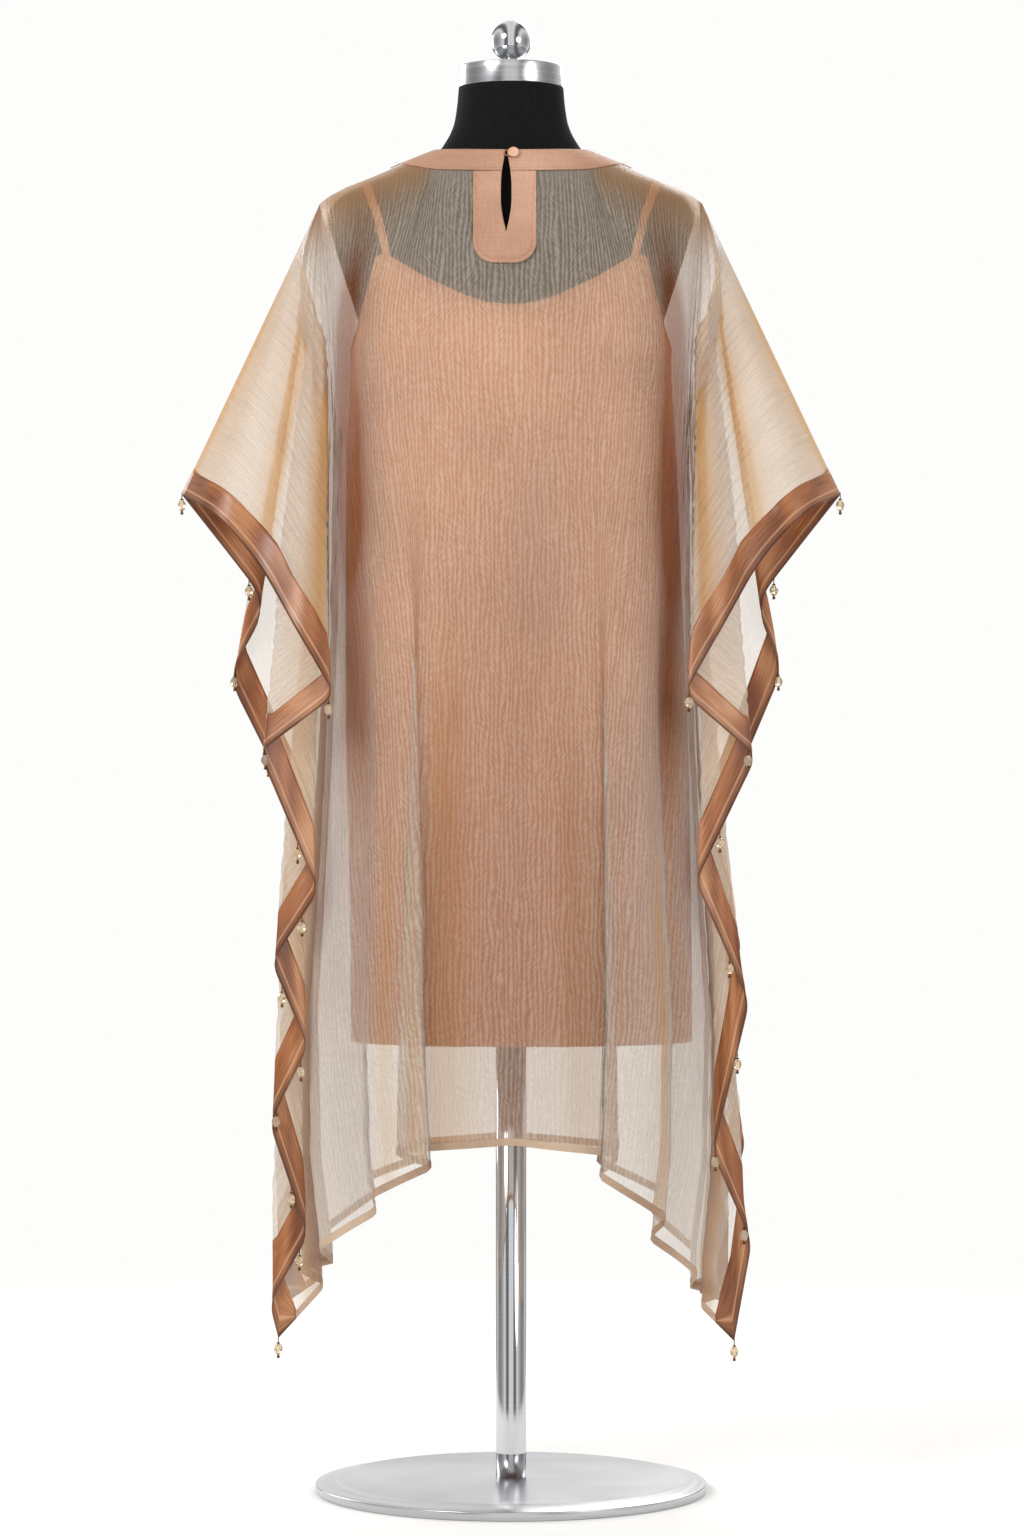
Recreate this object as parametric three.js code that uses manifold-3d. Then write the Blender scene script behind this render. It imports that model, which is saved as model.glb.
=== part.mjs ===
// A sheer kaftan with satin borders and hanging beads, over a strap slip lining, on a limbless dress form.
// Millimetres, +Z up, the floor at z = 0. The back of the garment faces -Y, its wearer's left is at -X.
// Each panel is one rectangle of cloth. It hangs from the shoulder ridge, and past the side seam it falls
// in folds that fan out from the shoulder point to the bordered side edge and the hem.

import * as THREE from 'three';
import { mergeVertices } from 'three/addons/utils/BufferGeometryUtils.js';
import Module from 'manifold-3d';

const wasm = await Module();
wasm.setup();

// Driving sizes.
const CLOTH = 1.0; // sheer cloth wall
const BORDER_CLOTH = 1.1; // satin border wall
const HEM_CLOTH = 1.1; // turned hem, two plies
const LINING_CLOTH = 1.0;
const SEAM_GAP = 0.3; // between pieces that are sewn together
const BORDER_WIDTH = 27;
const HEM_WIDTH = 9;
const RIDGE_DEEP = 0.8; // half the distance between the front and back cloth where they meet
const SHOULDER = { out: 200.5, up: 1350.5 }; // the point from which the side folds fan out
// share: of the length, down to the underarm. bulge: the arm's room, which falls off inwards by a power.
const ARMHOLE = { share: 0.25, bulge: 52, power: 4 };
const NECK = { out: 84, up: 1403, backDrop: 5, frontDrop: 78, scoop: 1.6, share: 0.47 };
const SIDE_FOLD_ROUND = 13; // how far from a fold's turn the cloth begins to curve
const PLEAT_ROUND = 9;
const PLEAT_START = 0.3; // share of the length where the hem's pleats begin
const PLEAT_GROWTH = 0.8; // power of the length by which they deepen
const NECK_EASE = 0.2; // share of the length where a column leaves the neckline's spacing
const HEM_SAMPLES = [0.3, 0.55, 0.78]; // added columns between the inner pleat and the middle
const FAN_END = 0.3; // share of a ray where the side folds reach full depth
const FAN_BULGE = 0.42; // how far the folds in the middle of the fan stand out, as a share of their length
const FLARE_RANGE = { none: 720, full: 580 }; // folds that end lower than this swing out near their end
const FLAP_ROWS = [0, 0.02, 0.045, 0.075, 0.115, 0.165, 0.23, 0.36, 0.62, 1];
const BODY_ROW_BLEND = 0.25; // share of the half panel over which the one set of rows turns into the other
const BODY_ROWS = [0, 0.004, 0.015, 0.034, 0.065, 0.11, 0.19, 0.36, 0.62, 1];

// Where the outer cloth hangs: half its width and how far it stands from the middle, at each height.
const CLOTH_SECTIONS = [
  { up: 150, half: 197, back: 128, front: 137 },
  { up: 257, half: 197, back: 128, front: 137 },
  { up: 350, half: 208, back: 128, front: 137 },
  { up: 500, half: 210, back: 127, front: 138 },
  { up: 600, half: 203, back: 126, front: 139 },
  { up: 777, half: 192, back: 124, front: 140 },
  { up: 900, half: 187, back: 123, front: 141 },
  { up: 1100, half: 186, back: 121, front: 141 },
  { up: 1180, half: 187, back: 118, front: 139 },
  { up: 1225, half: 190, back: 117, front: 130 },
  { up: 1270, half: 194, back: 114, front: 112 },
  { up: 1310, half: 197, back: 107, front: 92 },
  { up: 1335, half: 199.5, back: 99, front: 79 },
  { up: 1350.5, half: 200.5, back: 92, front: 70 },
  { up: 1358.5, half: 190, back: 88, front: 67 },
  { up: 1368, half: 172, back: 83, front: 64 },
  { up: 1378, half: 146, back: 78, front: 62 },
  { up: 1390, half: 118, back: 73, front: 60 },
  { up: 1403, half: 85, back: 68, front: 59 },
  { up: 1420, half: 80, back: 66, front: 59 },
];

// The dress form's body, from its flat foot to its neck.
const FORM_SECTIONS = [
  { up: 690, half: 150, back: 98, front: 88 },
  { up: 740, half: 163, back: 108, front: 98 },
  { up: 800, half: 167, back: 109, front: 103 },
  { up: 860, half: 162, back: 104, front: 103 },
  { up: 930, half: 144, back: 92, front: 98 },
  { up: 1005, half: 124, back: 79, front: 93 },
  { up: 1080, half: 134, back: 87, front: 105 },
  { up: 1140, half: 146, back: 96, front: 121 },
  { up: 1180, half: 152, back: 101, front: 127 },
  { up: 1225, half: 160, back: 104, front: 117 },
  { up: 1270, half: 174, back: 102, front: 98 },
  { up: 1310, half: 186, back: 95, front: 78 },
  { up: 1343, half: 190, back: 85, front: 64 },
  { up: 1354, half: 182, back: 80, front: 58 },
  { up: 1364, half: 166, back: 73, front: 54 },
  { up: 1375, half: 140, back: 67, front: 51 },
  { up: 1387, half: 112, back: 62, front: 50 },
  { up: 1401, half: 80, back: 57, front: 50 },
  { up: 1414, half: 69, back: 55, front: 51 },
  { up: 1430, half: 61, back: 54, front: 53 },
  { up: 1450, half: 57, back: 54.5, front: 54 },
  { up: 1471, half: 55, back: 55, front: 55 },
];

// The slip lining hangs close to the form down to the bust, then straight.
const LINING_SECTIONS = [
  { up: 472, half: 178.5, back: 117, front: 131 },
  { up: 800, half: 179, back: 117, front: 131 },
  { up: 1080, half: 173, back: 113, front: 131 },
  { up: 1180, half: 167, back: 109, front: 131 },
  { up: 1225, half: 168, back: 108, front: 121 },
  { up: 1270, half: 178, back: 105, front: 102 },
  { up: 1310, half: 190, back: 98.5, front: 81.5 },
  { up: 1332, half: 193, back: 92, front: 71 },
];
const LINING_HEM = 472;
const LINING_ASIDE = { out: 11, from: 1180 }; // its hem hangs this far towards the wearer's right
const LINING_ROWS = [0, 0.05, 0.11, 0.2, 0.45, 1]; // shares of its length
const LINING_WAVE = { deep: 4, turns: 2.5 }; // its hem's soft waves across each half
const LINING_TOP = [
  { out: 0, back: 1233, front: 1226 },
  { out: 26, back: 1236, front: 1229 },
  { out: 50, back: 1244, front: 1238 },
  { out: 90, back: 1264, front: 1259 },
  { out: 130, back: 1289, front: 1288 },
  { out: 140, back: 1286, front: 1285 },
  { out: 149, back: 1250, front: 1248 },
  { out: 161, back: 1212, front: 1211 },
  { out: 168, back: 1194, front: 1194 },
];

// Each side's folds, from the sleeve tip down the border to the corner and along the hem to the side
// seam, and then the hem's pleats from the side seam to the middle. out: from the middle of the body.
// deep: from the plane between front and back. up: above the floor.
const QUARTERS = [
  {
    name: 'back_left',
    sideways: -1,
    facing: -1,
    flare: 0.6,
    edge: [
      { turn: 'sleeve tip', out: 345.5, deep: RIDGE_DEEP, up: 1045 },
      { turn: 'sleeve wave out', out: 306, deep: 58, up: 1022 },
      { turn: 'sleeve wave in', out: 262, deep: 60, up: 972 },
      { turn: 'sleeve hollow', out: 216, deep: 104, up: 892 },
      { turn: 'first in', out: 181, deep: 112, up: 832 },
      { turn: 'first out', out: 260, deep: 88, up: 774 },
      { turn: 'second in', out: 199, deep: 82, up: 630 },
      { turn: 'second out', out: 248, deep: 70, up: 557 },
      { turn: 'third in', out: 211, deep: 59, up: 468 },
      { turn: 'third out', out: 251, deep: 49, up: 388 },
      { turn: 'fourth in', out: 212, deep: 40, up: 270 },
      { turn: 'fourth out', out: 252, deep: 32, up: 199 },
      { turn: 'corner', out: 243, deep: 27, up: 163 },
    ],
    flapHem: [
      { turn: 'hem in', out: 194, deep: 14, up: 216 },
      { turn: 'hem out', out: 224, deep: 9, up: 230 },
    ],
    bodyHem: [
      { turn: 'side seam', out: 187, deep: RIDGE_DEEP, up: 238 },
      { turn: 'side', out: 199, deep: 52, up: 257 },
      { turn: 'outer pleat under', out: 138, deep: 96, up: 298 },
      { turn: 'outer pleat edge', out: 147, deep: 112, up: 315 },
      { turn: 'inner pleat edge', out: 78, deep: 139, up: 349 },
      { turn: 'inner pleat under', out: 126, deep: 108, up: 362 },
      { turn: 'middle', out: 0, deep: 127, up: 372 },
    ],
    beads: [0, 0.2895, 0.371, 0.47, 0.548, 0.627, 0.705, 0.76, 0.84, 0.905, 1],
  },
  {
    name: 'back_right',
    sideways: 1,
    facing: -1,
    flare: 2.2,
    edge: [
      { turn: 'sleeve tip', out: 345.5, deep: RIDGE_DEEP, up: 1045 },
      { turn: 'sleeve wave out', out: 304, deep: 60, up: 1024 },
      { turn: 'sleeve wave in', out: 258, deep: 58, up: 974 },
      { turn: 'sleeve hollow', out: 211, deep: 104, up: 892 },
      { turn: 'first in', out: 178, deep: 112, up: 834 },
      { turn: 'first out', out: 253, deep: 88, up: 770 },
      { turn: 'second in', out: 191, deep: 80, up: 640 },
      { turn: 'second out', out: 247, deep: 66, up: 515 },
      { turn: 'third in', out: 210, deep: 50, up: 356 },
      { turn: 'third out', out: 251, deep: 37, up: 264 },
      { turn: 'corner', out: 233, deep: 28, up: 160 },
    ],
    flapHem: [
      { turn: 'hem in', out: 196, deep: 15, up: 196 },
      { turn: 'hem out', out: 222, deep: 9, up: 204 },
    ],
    bodyHem: [
      { turn: 'side seam', out: 188, deep: RIDGE_DEEP, up: 212 },
      { turn: 'side', out: 192, deep: 56, up: 230 },
      { turn: 'outer pleat under', out: 144, deep: 92, up: 271 },
      { turn: 'outer pleat edge', out: 160, deep: 108, up: 291 },
      { turn: 'inner pleat edge', out: 86, deep: 138, up: 341 },
      { turn: 'inner pleat under', out: 118, deep: 110, up: 358 },
      { turn: 'middle', out: 0, deep: 127, up: 372 },
    ],
    beads: [0, 0.29, 0.375, 0.465, 0.6, 0.7, 0.8, 0.88, 1],
  },
  {
    name: 'front_left',
    sideways: -1,
    facing: 1,
    flare: 0.4,
    edge: [
      { turn: 'sleeve tip', out: 345.5, deep: RIDGE_DEEP, up: 1045 },
      { turn: 'sleeve wave', out: 303, deep: 38, up: 990 },
      { turn: 'first in', out: 257, deep: 38, up: 930 },
      { turn: 'first out', out: 301, deep: 74, up: 854 },
      { turn: 'second in', out: 207, deep: 98, up: 664 },
      { turn: 'second out', out: 250, deep: 86, up: 590 },
      { turn: 'third in', out: 213, deep: 75, up: 500 },
      { turn: 'third out', out: 250, deep: 65, up: 415 },
      { turn: 'fourth in', out: 213, deep: 54, up: 300 },
      { turn: 'fourth out', out: 250, deep: 43, up: 232 },
      { turn: 'corner', out: 239, deep: 34, up: 192 },
    ],
    flapHem: [
      { turn: 'hem in', out: 197, deep: 19, up: 222 },
      { turn: 'hem out', out: 222, deep: 11, up: 240 },
    ],
    bodyHem: [
      { turn: 'side seam', out: 187, deep: RIDGE_DEEP, up: 238 },
      { turn: 'side', out: 200, deep: 58, up: 262 },
      { turn: 'outer pleat under', out: 146, deep: 106, up: 300 },
      { turn: 'outer pleat edge', out: 156, deep: 122, up: 312 },
      { turn: 'inner pleat edge', out: 84, deep: 149, up: 338 },
      { turn: 'inner pleat under', out: 122, deep: 118, up: 350 },
      { turn: 'middle', out: 0, deep: 139, up: 358 },
    ],
    beads: [0.125, 0.24, 0.345, 0.44, 0.53, 0.62, 0.71, 0.8, 0.9, 1],
  },
  {
    name: 'front_right',
    sideways: 1,
    facing: 1,
    flare: 2.5,
    edge: [
      { turn: 'sleeve tip', out: 345.5, deep: RIDGE_DEEP, up: 1045 },
      { turn: 'sleeve wave', out: 300, deep: 38, up: 986 },
      { turn: 'first in', out: 257, deep: 39, up: 930 },
      { turn: 'first out', out: 290, deep: 72, up: 864 },
      { turn: 'second in', out: 205, deep: 97, up: 660 },
      { turn: 'second out', out: 247, deep: 84, up: 570 },
      { turn: 'third in', out: 211, deep: 70, up: 455 },
      { turn: 'third out', out: 250, deep: 56, up: 360 },
      { turn: 'fourth in', out: 212, deep: 44, up: 258 },
      { turn: 'corner', out: 234, deep: 34, up: 190 },
    ],
    flapHem: [
      { turn: 'hem in', out: 195, deep: 18, up: 206 },
      { turn: 'hem out', out: 220, deep: 10, up: 214 },
    ],
    bodyHem: [
      { turn: 'side seam', out: 188, deep: RIDGE_DEEP, up: 212 },
      { turn: 'side', out: 197, deep: 60, up: 240 },
      { turn: 'outer pleat under', out: 148, deep: 104, up: 284 },
      { turn: 'outer pleat edge', out: 160, deep: 120, up: 298 },
      { turn: 'inner pleat edge', out: 88, deep: 148, up: 334 },
      { turn: 'inner pleat under', out: 124, deep: 118, up: 348 },
      { turn: 'middle', out: 0, deep: 139, up: 358 },
    ],
    beads: [0.125, 0.24, 0.345, 0.45, 0.55, 0.65, 0.76, 0.88, 1],
  },
];

const KEYHOLE = {
  out: -5,
  top: 1420,
  shut: 1400,
  bottom: 1309,
  wide: 11,
  widest: 1350,
  slit: 1.4,
  point: 0.3,
};
const PLACKET = { left: -39, right: 26, top: 1374.6, bottom: 1276, round: 22 };
const FACING_EDGE = [
  { out: 126, up: 1392 },
  { out: 84, up: 1379 },
  { out: 42, up: 1376 },
  { out: 0, up: 1375 },
];
const OVERLAY = { share: 0.86, rows: 8 }; // the part of a panel that the facings lie on
const FRONT_FACING = { width: 24, aside: 14, endDrop: 13, steps: 12 };
const BUTTON = { out: 2.5, up: 1393, radius: 5.5, thick: 2.4, shank: 1.3, foot: 2.4, face: 3.9 };
const BUTTON_LOOP = { out: -0.9, radius: 4, stretch: 1.5, cord: 0.6, lift: 3 };
const BEAD_PROFILE = [
  { radius: 0, up: 3 },
  { radius: 0.9, up: 3 },
  { radius: 0.9, up: -4 },
  { radius: 5.4, up: -10 },
  { radius: 1.7, up: -17 },
  { radius: 0, up: -21.5 },
];
const BEAD_SIDES = 6;
const TIP_BEAD_SHIFT = new THREE.Vector3(-1, 0.7, -0.5); // keeps the tip's two beads apart
const CAP = { radius: 55, bottom: 1471.3, top: 1494, bevel: 1.5 };
const FINIAL = { ball: 21.5, middle: 1521, stem: 7 };
const POLE = { radius: 16, top: 689.7 };
const BASE = { radius: 205, edge: 9, top: 14, shoulder: 180 };
const STRAP = {
  width: 9,
  thick: 1.4,
  lift: 1.45,
  endLift: 1.3,
  low: 1281,
  high: 1366,
  outLow: 134,
  outHigh: 149,
  deep: 90,
  rise: 0.7,
  ease: 0.3,
  steps: 28,
};
const SLIDER = { radius: 5, wire: 0.7, row: 3 };
const ELLIPSE_POWER = 0.92; // 1 is an ellipse, less is squarer

// Small helpers.
const lerp = (a, b, t) => a + (b - a) * t;
const clamp01 = (t) => Math.min(1, Math.max(0, t));
const smooth = (a, b, t) => {
  const x = clamp01((t - a) / (b - a));
  return x * x * (3 - 2 * x);
};

// A table's column at a height, in straight steps between its rows.
function sectionAt(rows, key, up) {
  const i = Math.max(1, rows.findIndex((r) => r.up >= up));
  if (rows.every((r) => r.up < up)) return rows[rows.length - 1][key];
  const [a, b] = [rows[i - 1], rows[i]];
  return lerp(a[key], b[key], clamp01((up - a.up) / (b.up - a.up)));
}

// How far a rounded section stands from the middle plane at a distance out from the centre.
function standAt(rows, side, out, up) {
  const half = sectionAt(rows, 'half', up);
  const deep = sectionAt(rows, side, up);
  const rest = Math.max(0, 1 - Math.pow(Math.min(1, Math.abs(out) / half), 2 / ELLIPSE_POWER));
  return deep * Math.pow(rest, ELLIPSE_POWER / 2);
}

const pointKey = (p) => `${p.x.toFixed(3)},${p.y.toFixed(3)},${p.z.toFixed(3)}`;

// The mean direction that a grid faces at each of its points.
function gridNormals(grid) {
  const normals = new Map();
  const addNormal = (a, b, c) => {
    const n = b.clone().sub(a).cross(c.clone().sub(a));
    for (const p of [a, b, c]) {
      const k = pointKey(p);
      normals.set(k, (normals.get(k) ?? new THREE.Vector3()).add(n));
    }
  };
  for (let i = 0; i + 1 < grid.length; i++) {
    for (let j = 0; j + 1 < grid[0].length; j++) {
      addNormal(grid[i][j], grid[i + 1][j], grid[i + 1][j + 1]);
      addNormal(grid[i][j], grid[i + 1][j + 1], grid[i][j + 1]);
    }
  }
  for (const n of normals.values()) n.normalize();
  return normals;
}

// A closed wall round a grid of points. lift moves the wall's middle off the grid, outwards.
function wallFromGrid(grid, thick, { lift = 0, outward = 1, normals = gridNormals(grid) } = {}) {
  const rows = grid.length;
  const columns = grid[0].length;
  const normalAt = (p) => normals.get(pointKey(p));
  const moved = (p, distance) => p.clone().addScaledVector(normalAt(p), distance * outward);
  const layer = (distance) => grid.map((row) => row.map((p) => moved(p, distance)));
  const outer = layer(lift + thick / 2);
  const inner = layer(lift - thick / 2);
  const [front, back] = outward > 0 ? [outer, inner] : [inner, outer];
  const positions = [];
  const triangle = (a, b, c) => {
    const keys = new Set([a, b, c].map(pointKey));
    if (keys.size < 3) return;
    for (const p of [a, b, c]) positions.push(p.x, p.y, p.z);
  };
  const quad = (a, b, c, d) => {
    triangle(a, b, c);
    triangle(a, c, d);
  };
  for (let i = 0; i + 1 < rows; i++) {
    for (let j = 0; j + 1 < columns; j++) {
      quad(front[i][j], front[i + 1][j], front[i + 1][j + 1], front[i][j + 1]);
      triangle(back[i][j], back[i + 1][j + 1], back[i + 1][j]);
      triangle(back[i][j], back[i][j + 1], back[i + 1][j + 1]);
    }
  }
  const rim = (i1, j1, i2, j2) => quad(front[i2][j2], front[i1][j1], back[i1][j1], back[i2][j2]);
  // The same quad split along its other diagonal, so that facing rims of two walls keep their gap.
  const matchingRim = (i1, j1, i2, j2) => {
    triangle(front[i2][j2], front[i1][j1], back[i2][j2]);
    triangle(front[i1][j1], back[i1][j1], back[i2][j2]);
  };
  for (let i = 0; i + 1 < rows; i++) {
    rim(i, 0, i + 1, 0);
    matchingRim(i + 1, columns - 1, i, columns - 1);
  }
  for (let j = 0; j + 1 < columns; j++) {
    rim(rows - 1, j, rows - 1, j + 1);
    matchingRim(0, j + 1, 0, j);
  }
  const geometry = new THREE.BufferGeometry();
  geometry.setAttribute('position', new THREE.Float32BufferAttribute(positions, 3));
  return geometry;
}

// A shape turned round the Z axis from rows of radius and height.
function lathe(rows, sides) {
  const geometry = new THREE.LatheGeometry(rows.map(([r, z]) => new THREE.Vector2(r, z)), sides);
  geometry.rotateX(Math.PI / 2);
  return geometry;
}

// Solids for cutting and joining.
function solidFrom(geometry) {
  const plain = geometry.index ? geometry.toNonIndexed() : geometry.clone();
  const bare = new THREE.BufferGeometry();
  bare.setAttribute('position', plain.getAttribute('position'));
  const merged = mergeVertices(bare, 1e-3);
  return new wasm.Manifold(
    new wasm.Mesh({
      numProp: 3,
      vertProperties: merged.attributes.position.array,
      triVerts: new Uint32Array(merged.index.array),
    }),
  );
}

function geometryFrom(solid) {
  const mesh = solid.getMesh();
  const points = new Float32Array(mesh.numVert * 3);
  for (let i = 0; i < mesh.numVert; i++) {
    points.set(mesh.vertProperties.subarray(i * mesh.numProp, i * mesh.numProp + 3), i * 3);
  }
  const geometry = new THREE.BufferGeometry();
  geometry.setAttribute('position', new THREE.BufferAttribute(points, 3));
  geometry.setIndex(new THREE.BufferAttribute(mesh.triVerts, 1));
  return geometry;
}

// A polygon in the X-Z plane, drawn through a range of Y.
function prismAlongY(points, from, to) {
  const shape = new THREE.Shape(points.map((p) => new THREE.Vector2(p.x, p.z)));
  const geometry = new THREE.ExtrudeGeometry(shape, { depth: to - from, bevelEnabled: false });
  geometry.rotateX(Math.PI / 2);
  geometry.translate(0, to, 0);
  return solidFrom(geometry);
}

const apexPoint = new THREE.Vector3(SHOULDER.out, RIDGE_DEEP, SHOULDER.up);

// How much a side fold that ends at this point swings out near its end, as a power of its length.
function flareTo(bottom, flare) {
  return bottom.x > apexPoint.x ? 1 + flare * smooth(FLARE_RANGE.none, FLARE_RANGE.full, bottom.z) : 1;
}

// The direction of a side fold where it ends.
function endDirection(bottom, flare) {
  const ray = bottom.clone().sub(apexPoint);
  ray.x *= flareTo(bottom, flare);
  return ray;
}

// A chain of turns with each corner rounded. Each point keeps its share of the chain's length, and the
// sine of the angle between the chain and the folds that end on it, which sets the border's depth.
function roundedChain(turns, round, samples, flare) {
  const vectors = turns.map((t) => new THREE.Vector3(t.out, t.deep, t.up));
  const sines = [];
  for (let k = 0; k + 1 < vectors.length; k++) {
    const along = vectors[k + 1].clone().sub(vectors[k]).normalize();
    const middle = vectors[k].clone().add(vectors[k + 1]).multiplyScalar(0.5);
    sines.push(Math.max(0.3, along.cross(endDirection(middle, flare).normalize()).length()));
  }
  const points = [{ p: vectors[0], sine: sines[0], turn: 0 }];
  for (let k = 1; k + 1 < vectors.length; k++) {
    const before = vectors[k - 1].clone().sub(vectors[k]);
    const after = vectors[k + 1].clone().sub(vectors[k]);
    const from = vectors[k].clone().addScaledVector(before, Math.min(0.4, round / before.length()));
    const to = vectors[k].clone().addScaledVector(after, Math.min(0.4, round / after.length()));
    for (let m = 0; m < samples; m++) {
      const t = (m + 0.5) / samples;
      const a = from.clone().lerp(vectors[k], t);
      const b = vectors[k].clone().lerp(to, t);
      points.push({ p: a.lerp(b, t), sine: lerp(sines[k - 1], sines[k], t), turn: k });
    }
  }
  points.push({ p: vectors[vectors.length - 1], sine: sines[sines.length - 1], turn: vectors.length - 1 });
  let run = 0;
  points.forEach((point, i) => {
    if (i) run += point.p.distanceTo(points[i - 1].p);
    point.run = run;
  });
  points.forEach((point) => (point.share = point.run / run));
  return points;
}

const armholeBump = (t) => (t < ARMHOLE.share ? Math.sin((Math.PI * t) / ARMHOLE.share) : 0);

// The top of a body column: on the neckline near the middle, and on the shoulder ridge further out.
function topOf(share, side) {
  if (share <= NECK.share) {
    const turn = ((1 - share / NECK.share) * Math.PI) / 2;
    const drop = side === 'back' ? NECK.backDrop : NECK.frontDrop;
    return { out: NECK.out * Math.cos(turn), up: NECK.up - drop * Math.pow(Math.sin(turn), NECK.scoop) };
  }
  const out = lerp(NECK.out, SHOULDER.out, (share - NECK.share) / (1 - NECK.share));
  const ridge = CLOTH_SECTIONS.filter((r) => r.up >= SHOULDER.up && r.up <= NECK.up).reverse();
  const i = Math.max(1, ridge.findIndex((r) => r.half >= out - 1e-6));
  const [a, b] = [ridge[i - 1], ridge[i]];
  return { out, up: lerp(a.up, b.up, clamp01((out - a.half) / (b.half - a.half))) };
}

// A body column's point: down the form's back or front, then straight, with the pleats growing to the hem.
function bodyPoint(column, side, t) {
  const top = topOf(column.share, side);
  const up = lerp(top.up, column.bottom.z, t);
  const half = sectionAt(CLOTH_SECTIONS, 'half', up);
  const spread = Math.sin((column.share * Math.PI) / 2);
  const out = Math.min(half, lerp(top.out, half * spread, smooth(0, NECK_EASE, t)));
  const stand = standAt(CLOTH_SECTIONS, side, out, up);
  const room = ARMHOLE.bulge * armholeBump(t) * Math.pow(column.share, ARMHOLE.power);
  const hemHalf = sectionAt(CLOTH_SECTIONS, 'half', column.bottom.z);
  const hemOut = hemHalf * spread;
  const hemStand = standAt(CLOTH_SECTIONS, side, hemOut, column.bottom.z);
  const pleat = Math.pow(clamp01((t - PLEAT_START) / (1 - PLEAT_START)), PLEAT_GROWTH);
  return new THREE.Vector3(
    out + pleat * (column.bottom.x - hemOut),
    Math.max(RIDGE_DEEP, stand + RIDGE_DEEP + room + pleat * (column.bottom.y - RIDGE_DEEP - hemStand)),
    up,
  );
}

// A side fold's point: along the ray from the shoulder point to the edge, unfolded near the shoulder.
function flapPoint(column, side, t, seam) {
  const ray = column.bottom.clone().sub(apexPoint);
  const swing = Math.pow(t, flareTo(column.bottom, seam.flare)) - t;
  const reach = ray.length();
  const tip = seam.tip.clone().sub(apexPoint).normalize();
  const end = seam.end.clone().sub(apexPoint).normalize();
  const plain = tip.lerp(end, column.fan);
  plain.y += FAN_BULGE * column.fan * (1 - column.fan);
  plain.normalize().multiplyScalar(reach);
  const w = smooth(0.02, FAN_END, t);
  const p = apexPoint.clone().addScaledVector(plain.lerp(ray, w), t);
  p.x += ray.x * swing;
  const straight = apexPoint.clone().lerp(seam.end, t);
  const bent = bodyPoint({ share: 1, bottom: seam.end }, side, t);
  p.x += (bent.x - straight.x) * Math.pow(column.fan, 3);
  p.y += ARMHOLE.bulge * armholeBump(t) * smooth(0, 0.35, column.fan);
  p.y = Math.max(RIDGE_DEEP, p.y);
  return p;
}

// All the columns of one quarter, from the sleeve tip to the middle of the body.
function quarterColumns(quarter) {
  const corner = quarter.edge[quarter.edge.length - 1];
  const seamRow = quarter.bodyHem[0];
  const edge = roundedChain([...quarter.edge, quarter.flapHem[0]], SIDE_FOLD_ROUND, 2, quarter.flare);
  const cornerTurn = quarter.edge.length - 1;
  const edgeColumns = edge.filter((c) => c.turn < cornerTurn);
  const cornerPoint = new THREE.Vector3(corner.out, corner.deep, corner.up);
  const lastEdge = edgeColumns[edgeColumns.length - 1];
  const length = lastEdge.run + cornerPoint.distanceTo(lastEdge.p);
  const columns = edgeColumns.map((c) => {
    const reach = endDirection(c.p, quarter.flare).length();
    return { kind: 'edge', bottom: c.p, inner: 1 - BORDER_WIDTH / (reach * c.sine), run: c.run };
  });
  const lastInner = columns[columns.length - 1].inner;
  columns.push({ kind: 'corner', bottom: cornerPoint, inner: lastInner, run: length });
  const hemTurns = [corner, ...quarter.flapHem, seamRow];
  const hem = roundedChain(hemTurns, PLEAT_ROUND, 2, quarter.flare);
  const towardsHem = hem[1].p.clone().sub(cornerPoint).normalize();
  const hemShare = 1 - HEM_WIDTH / cornerPoint.distanceTo(apexPoint);
  for (const gap of [-SEAM_GAP / 2, SEAM_GAP / 2]) {
    const bottom = cornerPoint.clone().addScaledVector(towardsHem, BORDER_WIDTH + gap);
    columns.push({ kind: gap < 0 ? 'borderEnd' : 'hem', bottom, inner: hemShare, run: length });
  }
  for (const c of hem.slice(1, -1)) {
    if (c.p.distanceTo(cornerPoint) > BORDER_WIDTH + 3) {
      columns.push({ kind: 'hem', bottom: c.p, inner: hemShare, run: length });
    }
  }
  const seamEnd = new THREE.Vector3(seamRow.out, seamRow.deep, seamRow.up);
  columns.push({ kind: 'hem', bottom: seamEnd, inner: hemShare, run: length });
  let run = 0;
  columns.forEach((c, i) => {
    if (i) run += c.bottom.distanceTo(columns[i - 1].bottom);
    c.fan = run;
  });
  columns.forEach((c) => (c.fan /= run));
  const seam = { tip: columns[0].bottom, end: seamEnd, flare: quarter.flare };
  const side = quarter.facing < 0 ? 'back' : 'front';
  columns.forEach((c) => (c.at = (t) => flapPoint(c, side, t, seam)));

  const body = roundedChain(quarter.bodyHem, PLEAT_ROUND, 2, 0);
  const added = [];
  const last = body.length - 1;
  for (const share of HEM_SAMPLES) {
    const p = body[last - 1].p.clone().lerp(body[last].p, share);
    added.push({ p, share: lerp(body[last - 1].share, 1, share) });
  }
  const first = { p: body[0].p.clone().lerp(body[1].p, 0.5), share: body[1].share / 2 };
  const pleats = [first, ...body.slice(1, -1), ...added, body[last]];
  for (const c of pleats) {
    const column = { kind: 'body', bottom: c.p, inner: hemShare, share: 1 - c.share };
    column.at = (t) => bodyPoint(column, side, t);
    columns.push(column);
  }
  setSeamGaps(columns);
  return { columns, length };
}

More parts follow.
